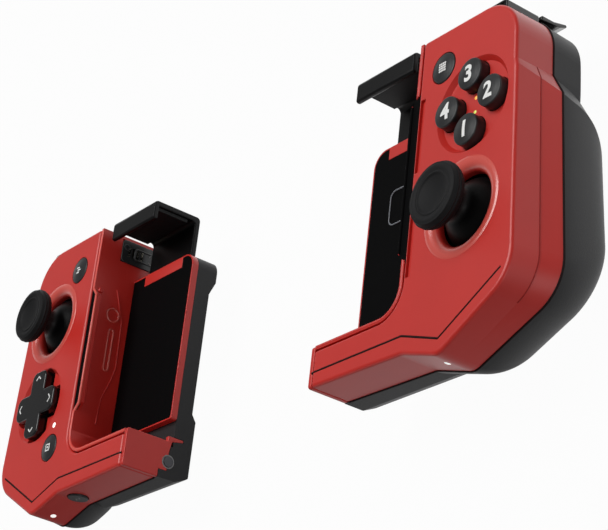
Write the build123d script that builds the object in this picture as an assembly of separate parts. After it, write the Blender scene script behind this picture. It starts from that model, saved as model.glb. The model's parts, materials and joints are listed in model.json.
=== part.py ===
"""Clip-on game controller for a phone: two grip halves, each with a spring jaw, a stick and buttons.

x runs across the two halves, y towards the bumpers, and z out of the front faces, in millimetres.
Everything is drawn for the right half with the front face at z = 0 and the inner wall, where the phone ends, at
x = 0, and moved to its place at the end.
"""
import os
from math import cos, hypot, radians, sin, sqrt

from build123d import *

# Space for the phone
phone_length = 158.0      # between the inner walls of the halves
arm_end_x = -34.5         # free end of the arm and of the phone rest
arm_top_y = -38.6         # where the phone's lower edge stands
rest_z = -14.2            # surface of the phone rest
jaw_y = 37.5              # underside of the closed jaw

# Outline of the body
top_y = 38.5
block_x = 37.6            # outer side of the upper block
arm_bottom_y = -50.4
bend_x, bend_y = 3.0, -51.2
heel_x, heel_y = 17.2, -55.4
side_x, side_y = 41.9, -41.0
shelf_x, shelf_y = 38.7, 18.5
flare_x, flare_y = 42.6, 12.0
flare_top_run = 1.6       # height of the small step below the shelf, on the front face
flare_top_out = 0.3       # and how far it steps out there
facet_out = 2.2           # how far the side stands out at the facet line
flare_out = 5.0           # and at the seam
facet_z = -7.0
seam_z = -12.5
grip_floor = 6.1          # from the cell to the foot of the grip
shell_wall = 2.0
front_edge_round = 1.0
top_round, inner_round, side_round, heel_round = 12.5, 1.2, 12.0, 5.0
bend_round, nook_round, arm_round = 6.0, 7.5, 0.8
cut_over = 1.0            # overrun of every cut

# Liner: the red inner wall, the arm's lining and the tray under the phone
liner_wall = 1.2
liner_gap = 0.3
liner_front_z = -0.2
tray_top_y, tray_bottom_y = 24.4, -31.5
tray_depth = 2.2
tray_rim = 0.5
pad_depth = 1.2
tray_round = 5.0
ledge_width = 2.0
ledge_left_top_y, ledge_right_top_y = 14.4, 20.0
ledge_low_y = -22.2
ledge_slope = 2.0
ledge_z = -1.3
ledge_depth = 0.8
ledge_rim = 0.6
strip_front_z = -0.5
fit_gap = 0.3             # between pieces that move past each other

# Rear shell behind the phone rest
rest_back_z = -21.5
arm_back_z = -23.0
bump_back_z = -23.4
bump_low_y = 12.0
arm_deep_y = -28.0
block_back_z = -24.0
back_chamfer = 2.2
block_tail_round = 13.5   # outer corner of the block at its back

# Rear of the grip: the outline shrinks about a centre, by shares of its four sides
grip_centre_x, grip_centre_y = 26.0, -14.0
grip_levels_share = (0.0, 0.36, 0.60, 0.75, 0.90, 1.0)
grip_top_share = (1.0, 0.93, 0.83, 0.69, 0.49, 0.33)
grip_low_share = (1.0, 0.955, 0.862, 0.75, 0.55, 0.32)
grip_out_share = (1.0, 0.985, 0.93, 0.86, 0.68, 0.38)
grip_in_share = (1.0, 0.86, 0.67, 0.51, 0.33, 0.15)
side_round_share = (1.0, 1.3, 1.5, 1.6, 1.6, 1.5)     # how much rounder its lower outer corner gets
nook_round_share = (1.0, 6.0, 7.5, 6.0, 3.0, 1.2)     # and its lower inner corner

# Jaw
jaw_in_x, jaw_out_x = -28.5, -4.0
jaw_wall = 1.8
jaw_front_z = -1.3
jaw_lip_y = 33.0
jaw_tail_y = -12.0
jaw_lip_wall = 1.7
jaw_pad_depth = 1.2
jaw_pad_side = 0.8
jaw_round = 1.4
roll_radius = 1.45
roll_core = 0.7
roll_x0, roll_x1 = -22.0, -11.0
roll_y = 18.2

# Sticks
stick_right_y, stick_right_x = -17.2, 21.9
stick_left_y, stick_left_x = 11.4, 23.2
well_roll = 2.3           # radius of its rolled edge
stick_pivot_z = -9.0
cap_radius = 8.85
cap_top_z = 9.6
cap_depth = 4.2
cap_dish = 1.0
cap_round = 1.7
shaft_radius = 3.6
spindle_radius = 1.9
dome_radius = 10.6
dome_wall = 0.9
dome_angle = 60.0
dome_gap = 0.93           # between the dome and its hole
ball_radius = 4.5
ring_wall = 1.9
ring_depth = 3.0
hinge_pin_radius, hinge_pin_reach = 0.6, 0.9    # stub pins of the two-way hinge, and how far they reach in
base_radius = 8.6
base_top_z = -6.5
base_back_z = -20.0
base_flange_lap = 1.3     # how far its flange reaches under the board
base_flange_depth = 1.0
base_floor = 6.0
ball_gap = 0.3
running_gap = 0.05
press_travel = 0.8

# Buttons
face_x, face_y = 23.2, 11.4
face_pitch = 8.0
face_radius = 4.36
face_top_z = 2.2
dish_radius = 13.3
dish_depth = 1.2
small_radius = 4.32
small_top_z = 0.6
small_travel = 1.0
button_gap = 0.25
button_flange = 0.75
flange_depth = 1.0
crown = 0.5
menu_x, menu_y = 10.7, 27.0
view_x, view_y = 11.3, 26.8
capture_x, capture_y = 12.0, -34.3
link_x, link_z = 0.4, -6.6
link_radius = 3.2
cross_x, cross_y = 23.5, -17.2
cross_reach = 11.3
cross_width = 8.4
cross_top_z = 1.7
cross_back_z = -3.4
cross_round = 2.6
cross_gap = 0.9
cross_tilt = 6.0          # degrees each way
cross_foot_radius = 1.3
cross_dish_radius = 12.6
cross_pivot_z = -4.6
cross_ring_radius, cross_ring_hole = 3.2, 2.2
cross_ring_depth = 1.6
cross_ball_radius = 1.9
cross_pin_radius, cross_pin_reach = 0.4, 0.6
cross_post_radius = 1.1
cross_hub_radius, cross_hub_z = 4.8, -6.2

# Boards, membranes, cells, lamps and fasteners
front_boss_z = -3.2       # underside of the thick front under dishes
membrane_top_z = -6.4
membrane_depth = 0.9
board_depth = 1.2
key_dome_height = 0.3
key_dome_radius = 2.6
hole_slack = 0.3
membrane_in_x, membrane_out_x = 6.0, 34.0
membrane_top_y, membrane_low_y = 31.8, -3.5
board_in_x = 5.8
board_rim = 1.7           # least width of the board beside its hole
board_top_y, board_low_y = 33.5, -45.5
cell_x0, cell_x1, cell_y0, cell_y1 = 18.5, 33.0, -25.0, -1.0
cell_gap, cell_depth = 1.6, 5.8
lamp_radius = 0.9
lamp_depth = 3.0
dot_radius = 0.55
front_lamp_x, front_lamp_y = 11.2, -26.9
dot_x, dot_low_y, dot_high_y = 24.3, 8.5, 12.7
heel_lamp_x, heel_lamp_z = 13.8, -6.4
groove_y, groove_low_y = -46.3, -51.0
groove_end_x, groove_end_y = 38.3, -38.6
groove_width, groove_depth = 0.6, 0.5
slot_x, slot_width, slot_depth = 2.4, 1.9, 0.8
slot_spans = ((-1.0, 20.5), (-30.5, -9.0))
boss_radius = 2.6
screw_radius = 0.9
screw_hole = 1.1
screw_head_radius = 1.9
screw_head_depth = 1.4
screw_bite = 5.0
post_radius = 3.8         # post of the rear shell; its collar goes round the boss and carries the board
screw_seat_z = -16.5
screw_places = ((6.2, 15.5), (31.8, 27.0), (9.0, -45.0), (36.2, -33.0))

# Bumper and trigger
bumper_in_x, bumper_out_x = 11.0, 32.4
bumper_rise_x = 24.5
bumper_low_y = 35.0
bumper_edge_y, bumper_top_y = 38.7, 39.3
bumper_front_z, bumper_back_z = -1.2, -12.2
bumper_travel = 1.0
bumper_round = 1.2
bumper_flange = 1.0
trigger_in_x, trigger_out_x = 14.0, 31.6
trigger_front_z = -13.8
trigger_tip_y, trigger_tip_z = 41.3, -22.2
trigger_seat_y = 38.9
trigger_web_x = 4.0
trigger_lean = 0.7        # how far the blade's inner side leans out, for its swing
trigger_beak = 1.8        # height of the beak beyond the blade
trigger_pin_y, trigger_pin_z = 34.0, -18.2
trigger_pin_radius = 1.0
trigger_hub_radius = 2.4
trigger_blade = 1.4

# Dock parts at the ends of the arms, contact block and charging port
end_plate = 1.5
dock_pin_radius = 1.7
dock_pin_y, dock_pin_z = -45.0, -15.4
contact_y0, contact_y1 = 29.6, 37.4
contact_z0, contact_z1 = -21.0, -7.8
contact_proud = 0.4
contact_bar, contact_pitch, contact_count = 0.9, 1.6, 4
port_x, port_z = 8.4, -18.0
port_width, port_height, port_length = 8.9, 3.2, 6.8
port_wall = 0.35
hook_top_z, hook_z, hook_y, hook_low_y, hook_wall = -14.4, -19.8, -37.0, -42.0, 0.8
end_step_y, end_step_z = -47.9, -15.4
liner_low_z = -21.6
pad_notch_in_x, pad_notch_out_x, pad_notch_y = -28.2, -6.7, 20.5

cell_top_z = base_back_z - cell_gap
cell_back_z = cell_top_z - cell_depth
grip_depth = grip_floor - cell_back_z
edge_x = liner_wall + liner_gap
shell_end_x = arm_end_x + end_plate
arm_edge_y = arm_top_y - liner_wall - liner_gap
tray_back_z = rest_z - tray_depth
jaw_back_z = tray_back_z - fit_gap
roll_z = jaw_back_z - jaw_wall - fit_gap - roll_radius
well_radius = sqrt(dome_radius ** 2 - (front_boss_z - stick_pivot_z) ** 2) + dome_gap
well_rim_radius = well_radius + well_roll
ring_outer = ball_radius + ball_gap + ring_wall
board_hole_radius = dome_radius + hole_slack
base_flange_radius = board_hole_radius + base_flange_lap
board_out_x = stick_right_x + board_hole_radius + board_rim
board_back_z = membrane_top_z - membrane_depth - board_depth
screw_tip_z = seam_z + screw_bite
small_stem_z = membrane_top_z + key_dome_height + small_travel + running_gap
ear_in_x, ear_out_x = trigger_in_x + shell_wall, trigger_out_x - shell_wall
deep = 2 * grip_depth


def box(x0, x1, y0, y1, z0, z1):
    """Box between two corners."""
    size = Box(abs(x1 - x0), abs(y1 - y0), abs(z1 - z0))
    return Pos((x0 + x1) / 2, (y0 + y1) / 2, (z0 + z1) / 2) * size


def rod(x, y, z0, z1, radius):
    """Round bar along z."""
    return Pos(x, y, (z0 + z1) / 2) * Cylinder(radius, abs(z1 - z0))


def rod_x(x0, x1, y, z, radius):
    """Round bar along x."""
    return Pos((x0 + x1) / 2, y, z) * Rot(0, 90, 0) * Cylinder(radius, abs(x1 - x0))


def rod_y(x, y0, y1, z, radius):
    """Round bar along y."""
    return Pos(x, (y0 + y1) / 2, z) * Rot(90, 0, 0) * Cylinder(radius, abs(y1 - y0))


def face_of(points, radii, z):
    """Flat face with rounded corners at a height."""
    line = FilletPolyline(*points, radius=list(radii), close=True)
    return Pos(0, 0, z) * make_face(line)


def slab(points, radii, z0, z1):
    """Solid between two heights from a rounded outline."""
    return extrude(face_of(points, radii, min(z0, z1)), amount=abs(z1 - z0))


def profile_x(points, radii, x0, x1):
    """Solid along x from an outline given as (y, z) pairs."""
    line = FilletPolyline(*[(0, y, z) for y, z in points], radius=list(radii), close=True)
    return extrude(Pos(x0, 0, 0) * make_face(line), amount=x1 - x0, dir=(1, 0, 0))


def inset(points, radii, depths):
    """Outline moved inwards, each side by its own depth; the outline runs clockwise."""
    count = len(points)
    lines = []
    for i in range(count):
        (ax, ay), (bx, by) = points[i], points[(i + 1) % count]
        length = hypot(bx - ax, by - ay)
        nx, ny = (by - ay) / length, -(bx - ax) / length
        lines.append((nx, ny, nx * ax + ny * ay + depths[i]))
    moved, rounds = [], []
    for i in range(count):
        (a, b, p), (c, d, q) = lines[i - 1], lines[i]
        cross = a * d - b * c
        moved.append(((p * d - q * b) / cross, (a * q - c * p) / cross))
        change = -min(depths[i - 1], depths[i]) if cross < 0 else max(depths[i - 1], depths[i])
        rounds.append(max(radii[i] + change, arm_round / 2) if radii[i] else 0)
    return moved, rounds


def body_outline(out_share):
    """Outline of the front shell; out_share is how far the flare has come out."""
    side_out = flare_out * out_share
    step_x = max((flare_x - shelf_x) * out_share, flare_top_out)
    points = [
        (edge_x, top_y),
        (block_x, top_y),
        (shelf_x, shelf_y),
        (shelf_x + step_x, shelf_y - flare_top_run - (shelf_y - flare_top_run - flare_y) * out_share),
        (side_x + side_out, side_y - (flare_out - facet_out) / 2 * out_share),
        (heel_x, heel_y),
        (bend_x, bend_y),
        (shell_end_x, arm_bottom_y),
        (shell_end_x, arm_edge_y),
        (edge_x, arm_edge_y),
    ]
    nook = nook_round + liner_wall + liner_gap
    radii = [inner_round, top_round, 0, 0, side_round, heel_round, bend_round, arm_round, arm_round, nook]
    return points, radii


def front_form(wall):
    """Outer form of the front shell, or with a wall its inner form, open at the seam and to the phone."""
    levels = []
    for z, share in ((0, 0), (facet_z, facet_out / flare_out), (seam_z, 1)):
        points, radii = body_outline(share)
        if wall:
            open_side = -cut_over
            depths = [wall, wall, wall, wall, wall, wall, wall, wall, open_side, open_side]
            points, radii = inset(points, radii, depths)
        levels.append((points, radii, z))
    if wall:
        points, radii, z = levels[0]
        levels[0] = (points, radii, -wall)
    form = loft([face_of(*level) for level in levels], ruled=True)
    if wall:
        points, radii, z = levels[-1]
        form += slab(points, radii, z, z - cut_over)
    return form


def grip_sections(wall):
    """Shrinking outlines of the rear of the grip."""
    faces = []
    full = body_outline(1)[0]
    seam = [(edge_x, shelf_y), full[2], full[3], full[4], full[5], (edge_x, bend_y)]
    rounds = [arm_round, 0, 0, side_round, heel_round, arm_round]
    rows = zip(grip_levels_share, grip_top_share, grip_low_share, grip_out_share, grip_in_share,
               side_round_share, nook_round_share)
    for level, top, low, out, inn, side_more, nook_more in rows:
        points = []
        for x, y in seam:
            dx, dy = x - grip_centre_x, y - grip_centre_y
            points.append((grip_centre_x + dx * (out if dx > 0 else inn),
                           grip_centre_y + dy * (top if dy > 0 else low)))
        z = seam_z - (grip_depth + seam_z) * level
        shrink = (out + top + low) / 3
        more = (1, 1, 1, side_more, 1, nook_more)
        turned = [max(r * shrink, arm_round) * times if r else 0 for r, times in zip(rounds, more)]
        if wall:
            points, turned = inset(points, turned, [wall] * len(points))
            z = seam_z + cut_over if level == 0 else z + wall
        faces.append(face_of(points, turned, z))
    return faces


def grip_form(wall):
    """Rear of the grip, or with a wall its inside."""
    return loft(grip_sections(wall))


def block_form(wall):
    """Rear of the upper block, or with a wall its inside."""
    points = [
        (edge_x, top_y),
        (block_x, top_y),
        (shelf_x, shelf_y),
        (shelf_x, flare_y),
        (edge_x, flare_y),
    ]
    radii = [inner_round, top_round, 0, 0, 0]
    if wall:
        points, radii = inset(points, radii, [wall, wall, wall, -cut_over, wall])
        return slab(points, radii, seam_z + cut_over, block_back_z + wall)
    back_radii = [inner_round, block_tail_round, 0, 0, 0]
    tail, tail_radii = inset(points, back_radii, [back_chamfer, back_chamfer, back_chamfer, 0, back_chamfer])
    lower_z = block_back_z + back_chamfer
    levels = ((points, radii, seam_z), (points, back_radii, lower_z), (tail, tail_radii, block_back_z))
    return loft([face_of(*level) for level in levels], ruled=True)


def rest_form():
    """Back of the phone rest and of the arm."""
    points = [
        (tray_top_y, tray_back_z),
        (tray_top_y, bump_back_z),
        (bump_low_y + 2 * back_chamfer, bump_back_z),
        (bump_low_y, rest_back_z),
        (arm_deep_y, rest_back_z),
        (arm_deep_y - back_chamfer, arm_back_z),
        (arm_bottom_y + back_chamfer, arm_back_z),
        (arm_bottom_y, arm_back_z + 2 * back_chamfer),
        (arm_bottom_y, seam_z),
        (arm_edge_y, seam_z),
        (arm_edge_y, tray_back_z),
    ]
    radii = [0, arm_round, 0, 0, 0, 0, arm_round, arm_round, 0, 0, 0]
    form = profile_x(points, radii, arm_end_x, edge_x + shell_wall)
    corner_x, corner_y = arm_end_x + tray_round, tray_top_y - tray_round
    corner = box(arm_end_x, corner_x, corner_y, tray_top_y, 0, -deep) - rod(corner_x, corner_y, 0, -deep, tray_round)
    return form - corner


def end_profile():
    """End plate of the arm with its hook, as a solid."""
    points = [
        (arm_top_y, liner_front_z),
        (arm_top_y, hook_top_z),
        (hook_y, hook_top_z),
        (hook_y, hook_z),
        (hook_y - hook_wall, hook_z),
        (hook_y - 2 * hook_wall, hook_top_z - 2 * hook_wall),
        (hook_low_y, end_step_z),
        (end_step_y, end_step_z),
        (end_step_y, seam_z),
        (arm_bottom_y, seam_z),
        (arm_bottom_y, liner_front_z),
    ]
    radii = [arm_round, 0, arm_round / 2, 0, 0, 0, 0, arm_round / 2, 0, 0, arm_round]
    return profile_x(points, radii, arm_end_x, shell_end_x)


def groove():
    """Thin line cut across the lower part of the front face."""
    line = Polyline(
        (shell_end_x - cut_over, groove_y),
        (bend_x, groove_y),
        (heel_x, groove_low_y),
        (groove_end_x, groove_end_y),
    )
    return extrude(Pos(0, 0, -groove_depth) * trace(line, line_width=groove_width), amount=2 * groove_depth)


def well(x, y):
    """Cut for a stick: a hole with a rolled edge."""
    rim = rod(x, y, -well_roll, cut_over, well_rim_radius)
    rim -= Pos(x, y, -well_roll) * Torus(well_rim_radius, well_roll)
    return rim + rod(x, y, -deep, cut_over, well_radius)


def dish(x, y, radius):
    """Shallow round dish in the front face."""
    floor_radius = radius - dish_depth
    cone = Cone(floor_radius, radius + cut_over, dish_depth + cut_over)
    return Pos(x, y, (cut_over - dish_depth) / 2) * cone


def cross_plate(grow, z0, z1):
    """Cross of two rounded bars."""
    reach, half = cross_reach + grow, cross_width / 2 + grow
    turn = cross_round
    solid = None
    for rx, ry in ((reach, half), (half, reach)):
        points = [(cross_x - rx, cross_y + ry), (cross_x + rx, cross_y + ry),
                  (cross_x + rx, cross_y - ry), (cross_x - rx, cross_y - ry)]
        bar = slab(points, [turn] * 4, z0, z1)
        solid = bar if solid is None else solid + bar
    return solid


def button(x, y, radius, top_z, under_z, stem_z=None):
    """Crowned button with a flange under the front face."""
    cap = rod(x, y, under_z - fit_gap, top_z, radius)
    ball = (radius * radius + crown * crown) / (2 * crown)
    cap &= Pos(x, y, top_z - ball) * Sphere(ball)
    flange_z = under_z - fit_gap
    cap += rod(x, y, flange_z - flange_depth, flange_z, radius + button_flange)
    if stem_z is not None:
        cap += rod(x, y, stem_z, flange_z, radius / 3)
    return cap


def face_places():
    """Centres of the four face buttons, from the lowest, anticlockwise."""
    return [(face_x, face_y - face_pitch), (face_x + face_pitch, face_y),
            (face_x, face_y + face_pitch), (face_x - face_pitch, face_y)]


def front_shell(left):
    """Red front shell of one half."""
    shell = front_form(0)
    rim = shell.faces().sort_by(Axis.Z)[-1].edges()
    shell = fillet(rim, front_edge_round)
    shell -= front_form(shell_wall)
    thick = stick_left_x, stick_left_y
    if not left:
        thick = stick_right_x, stick_right_y
    shell += rod(*thick, -shell_wall, front_boss_z, well_rim_radius + shell_wall / 2)
    if left:
        shell += rod(cross_x, cross_y, -shell_wall, front_boss_z, cross_dish_radius + shell_wall / 2)
    else:
        shell += rod(face_x, face_y, -shell_wall, front_boss_z, dish_radius + shell_wall / 2)
    for x, y in screw_places:
        shell += rod(x, y, -shell_wall, seam_z, boss_radius) - rod(x, y, screw_tip_z, -deep, screw_radius)
    shell -= well(*thick)
    if left:
        shell -= dish(cross_x, cross_y, cross_dish_radius)
        shell -= cross_plate(cross_gap, -deep, cut_over)
        holes = ((view_x, view_y), (capture_x, capture_y))
        shell -= rod_y(link_x, -deep, arm_edge_y - shell_wall, link_z, link_radius + button_gap)
        shell -= rod(front_lamp_x, front_lamp_y, -deep, cut_over, lamp_radius + running_gap)
    else:
        shell -= dish(face_x, face_y, dish_radius)
        for x, y in face_places():
            shell -= rod(x, y, -deep, cut_over, face_radius + button_gap)
        for y in (dot_low_y, dot_high_y):
            shell -= rod(dot_x, y, -deep, cut_over, dot_radius + running_gap)
        holes = ((menu_x, menu_y),)
        for y0, y1 in slot_spans:
            shell -= box(slot_x, slot_x + slot_width, y0, y1, -slot_depth, cut_over)
    for x, y in holes:
        shell -= rod(x, y, -deep, cut_over, small_radius + button_gap)
    shell -= groove()
    shell -= rod_y(heel_lamp_x, -deep, arm_bottom_y, heel_lamp_z, lamp_radius + running_gap)
    shell -= box(bumper_in_x - fit_gap, bumper_out_x + fit_gap, bumper_low_y - bumper_travel - fit_gap,
                 top_y + cut_over, bumper_front_z + fit_gap, bumper_back_z - fit_gap)
    return shell


def rear_shell(left):
    """Dark rear shell of one half, with posts, ribs and the jaw's channel."""
    outer = grip_form(0) + block_form(0) + rest_form()
    shell = outer - grip_form(shell_wall) - block_form(shell_wall)
    shell -= box(shell_end_x, edge_x, arm_edge_y, top_y, seam_z + cut_over, tray_back_z)
    shell -= box(shell_end_x + shell_wall, edge_x + 2 * shell_wall, arm_bottom_y + shell_wall,
                 arm_edge_y - shell_wall, seam_z + cut_over, arm_back_z + shell_wall)
    shell -= box(jaw_in_x - fit_gap, jaw_out_x + fit_gap, jaw_tail_y - fit_gap, tray_top_y + cut_over,
                 tray_back_z + cut_over, jaw_back_z - jaw_wall - fit_gap)
    pocket = roll_radius + running_gap
    shell -= box(roll_x0 - fit_gap, roll_x1 + fit_gap, roll_y - pocket, roll_y + pocket,
                 jaw_back_z, roll_z - pocket)
    fill = None
    for x, y in screw_places:
        post = rod(x, y, seam_z, -deep, post_radius)
        fill = post if fill is None else fill + post
    for x in (cell_x0 + shell_wall, cell_x1 - 2 * shell_wall):
        fill += box(x, x + shell_wall, cell_y0 + shell_wall, cell_y1 - shell_wall, cell_back_z, -deep)
    for x in (ear_in_x, ear_out_x - shell_wall):
        fill += box(x, x + shell_wall, trigger_pin_y - trigger_hub_radius, top_y,
                    trigger_pin_z + trigger_hub_radius, block_back_z + shell_wall)
    shell += fill & outer
    for x, y in screw_places:
        shell += rod(x, y, board_back_z, seam_z, post_radius) - rod(x, y, cut_over, -deep, boss_radius + hole_slack)
        shell -= rod(x, y, cut_over, -deep, screw_hole)
        shell -= rod(x, y, screw_seat_z, -deep, screw_head_radius + fit_gap)
    mid = (trigger_in_x + trigger_out_x) / 2
    half = trigger_web_x / 2 + fit_gap
    shell -= box(mid - half, mid + half, top_y - 2 * shell_wall, top_y + cut_over,
                 trigger_pin_z + trigger_hub_radius + fit_gap, block_back_z + shell_wall)
    shell -= rod_x(ear_in_x - cut_over, ear_out_x + cut_over, trigger_pin_y, trigger_pin_z, trigger_pin_radius)
    shell -= end_profile()
    shell -= rod_x(-deep, shell_end_x + 2 * shell_wall, dock_pin_y, dock_pin_z, dock_pin_radius + running_gap)
    if not left:
        shell -= port_bar(port_width + 2 * running_gap, port_height + 2 * running_gap, top_y - port_length,
                          top_y + cut_over)
    return shell


def port_bar(width, height, y0, y1):
    """Bar of the charging port's flat round-ended section, along y."""
    flat = width - height
    bar = box(port_x - flat / 2, port_x + flat / 2, y0, y1, port_z - height / 2, port_z + height / 2)
    for x in (port_x - flat / 2, port_x + flat / 2):
        bar += rod_y(x, y0, y1, port_z, height / 2)
    return bar


def charging_port():
    """Steel sleeve and tongue of the charging port."""
    y0, y1 = top_y - port_length, top_y
    bore_w, bore_h = port_width - 2 * port_wall, port_height - 2 * port_wall
    sleeve = port_bar(port_width, port_height, y0, y1) - port_bar(bore_w, bore_h, y0 + port_wall, y1 + cut_over)
    tongue = box(port_x - bore_w / 3, port_x + bore_w / 3, y0 + port_wall, y1 - port_wall * 2,
                 port_z - port_wall, port_z + port_wall)
    return sleeve + tongue


def ledge_outline(left, in_x, out_x):
    """Outline beside the front face's inner edge, with slanted ends."""
    top_y_here = ledge_left_top_y if left else ledge_right_top_y
    rise_in = ledge_slope * (in_x + ledge_width) / ledge_width
    rise_out = ledge_slope * (out_x + ledge_width) / ledge_width
    return [(in_x, top_y_here + rise_in), (out_x, top_y_here + rise_out),
            (out_x, ledge_low_y - rise_out), (in_x, ledge_low_y - rise_in)]


def edge_strip(left):
    """Bare dark strip between the front face and the liner's rim."""
    outline = ledge_outline(left, ledge_rim - ledge_width, edge_x - running_gap)
    return slab(outline, [0] * 4, strip_front_z, ledge_z)


def pad_outline():
    """Outline of the rubber pad on the phone rest."""
    top, low = tray_top_y - tray_rim, tray_bottom_y + tray_rim
    points = [
        (arm_end_x + tray_rim, top),
        (pad_notch_in_x, top),
        (pad_notch_in_x, pad_notch_y),
        (pad_notch_out_x, pad_notch_y),
        (pad_notch_out_x, top),
        (0, top),
        (0, low),
        (arm_end_x + tray_rim, low),
    ]
    return points, [tray_round - tray_rim, 0, 0, 0, 0, 0, 0, arm_round]


def liner(left):
    """Red inner wall, arm lining and tray in one piece."""
    out_x, out_y = liner_wall, arm_top_y - liner_wall
    wall = [(0, top_y), (out_x, top_y), (out_x, out_y),
            (shell_end_x, out_y), (shell_end_x, arm_top_y), (0, arm_top_y)]
    piece = slab(wall, [0, 0, nook_round + liner_wall, 0, 0, nook_round], liner_front_z, tray_back_z)
    piece += box(0, out_x, tray_top_y, top_y, tray_back_z, liner_low_z)
    tray = [(arm_end_x, tray_top_y), (out_x, tray_top_y), (out_x, tray_bottom_y), (arm_end_x, tray_bottom_y)]
    piece += slab(tray, [tray_round, 0, 0, arm_round], rest_z, tray_back_z)
    ledge = ledge_outline(left, -ledge_width, out_x)
    piece += slab(ledge, [0] * len(ledge), liner_front_z, ledge_z - ledge_depth)
    groove_cut = ledge_outline(left, ledge_rim - ledge_width, out_x + cut_over)
    piece -= slab(groove_cut, [0] * len(groove_cut), cut_over, ledge_z)
    points, radii = pad_outline()
    piece -= slab(points, radii, rest_z - pad_depth, cut_over + rest_z)
    piece -= box(jaw_in_x - fit_gap, jaw_out_x + fit_gap, tray_top_y - fit_gap, top_y, tray_back_z, -deep)
    if left:
        piece -= contact_body()
    return piece


def contact_body():
    """Body of the contact block, without its slot."""
    return box(-contact_proud, liner_wall, contact_y0, contact_y1, contact_z0, contact_z1)


def contact_places():
    """Depths of the contact bars, across the block's slot."""
    mid = (contact_z0 + contact_z1) / 2 + contact_pitch
    return [mid + contact_pitch * (i - (contact_count - 1) / 2) for i in range(contact_count)]


def contact_bars(grow):
    """The bars as boxes, grown by a gap."""
    bars = None
    mid_y = (contact_y0 + contact_y1) / 2
    for z in contact_places():
        half = contact_bar / 2 + grow
        bar = box(-contact_proud - grow, liner_wall / 2, mid_y - 2 * contact_bar - grow,
                  mid_y + 2 * contact_bar + grow, z - half, z + half)
        bars = bar if bars is None else bars + bar
    return bars


def phone_pad():
    """Rubber pad in the tray."""
    points, radii = pad_outline()
    return slab(points, radii, rest_z, rest_z - pad_depth)


def clamp_jaw():
    """Jaw: lip, top plate and a long tail that slides behind the tray."""
    top = jaw_y + jaw_wall
    back = jaw_back_z - jaw_wall
    points = [
        (top, jaw_front_z),
        (jaw_lip_y, jaw_front_z),
        (jaw_lip_y, jaw_front_z - jaw_lip_wall),
        (jaw_y, jaw_front_z - jaw_lip_wall),
        (jaw_y, jaw_back_z),
        (jaw_tail_y, jaw_back_z),
        (jaw_tail_y, back),
        (top, back),
    ]
    radii = [jaw_round, jaw_round / 2, jaw_round / 2, 0, jaw_round, 0, 0, jaw_round]
    return profile_x(points, radii, jaw_in_x, jaw_out_x)


def jaw_pad():
    """Rubber strip under the jaw's top plate."""
    return box(jaw_in_x + jaw_pad_side, jaw_out_x - jaw_pad_side, jaw_y - jaw_pad_depth, jaw_y,
               jaw_front_z - jaw_lip_wall, rest_z)


def spring_roll():
    """Constant-force spring of the jaw, wound as a roll behind its tail."""
    return rod_x(roll_x0, roll_x1, roll_y, roll_z, roll_radius) - rod_x(-deep, deep, roll_y, roll_z, roll_core)


def stick_base(x, y):
    """Fixed cup of a stick, with its flange under the board."""
    pocket = ring_outer + ball_gap
    base = rod(x, y, base_back_z, base_top_z, base_radius)
    base += rod(x, y, board_back_z - base_flange_depth, board_back_z, base_flange_radius)
    base -= rod(x, y, stick_pivot_z - base_floor, cut_over, pocket)
    reach = pocket + hinge_pin_reach + running_gap
    return base - rod_x(x - reach, x + reach, y, stick_pivot_z, hinge_pin_radius + running_gap)


def stick_ring(x, y):
    """Outer ring of a stick's two-way hinge."""
    half = ring_depth / 2
    ring = rod(x, y, stick_pivot_z - half, stick_pivot_z + half, ring_outer)
    reach = ring_outer + ball_gap + hinge_pin_reach
    ring += rod_x(x - reach, x + reach, y, stick_pivot_z, hinge_pin_radius)
    ring -= rod(x, y, -deep, cut_over, ball_radius + ball_gap)
    reach = ball_radius + ball_gap + hinge_pin_reach + running_gap
    return ring - rod_y(x, y - reach, y + reach, stick_pivot_z, hinge_pin_radius + running_gap)


def stick_ball(x, y):
    """Ball inside the ring, bored for the spindle."""
    bore_z = stick_pivot_z - running_gap - 2 * press_travel
    ball = Pos(x, y, stick_pivot_z) * Sphere(ball_radius)
    reach = ball_radius + ball_gap + hinge_pin_reach
    ball += rod_y(x, y - reach, y + reach, stick_pivot_z, hinge_pin_radius)
    return ball - rod(x, y, bore_z, cut_over, spindle_radius + running_gap)


def stick_stem(x, y):
    """Spindle, dome and neck of a stick."""
    stem = Pos(x, y, stick_pivot_z) * (Sphere(dome_radius) - Sphere(dome_radius - dome_wall))
    rim_z = stick_pivot_z + dome_radius * cos(radians(dome_angle))
    stem &= rod(x, y, rim_z, dome_radius, dome_radius)
    stem += rod(x, y, stick_pivot_z - press_travel / 2, stick_pivot_z + dome_radius - dome_wall / 2, spindle_radius)
    neck_z = stick_pivot_z + dome_radius - dome_wall
    return stem + rod(x, y, neck_z, cap_top_z - cap_depth, shaft_radius)


def stick_cap(x, y):
    """Rubber cap of a stick, dished on top."""
    cap = Cylinder(cap_radius, cap_depth)
    cap = fillet(cap.edges().filter_by(GeomType.CIRCLE), cap_round)
    hollow = (cap_radius * cap_radius / 2 + cap_dish * cap_dish) / (2 * cap_dish)
    cap -= Pos(0, 0, cap_depth / 2 + hollow - cap_dish) * Sphere(hollow)
    return Pos(x, y, cap_top_z - cap_depth / 2) * cap


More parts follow.
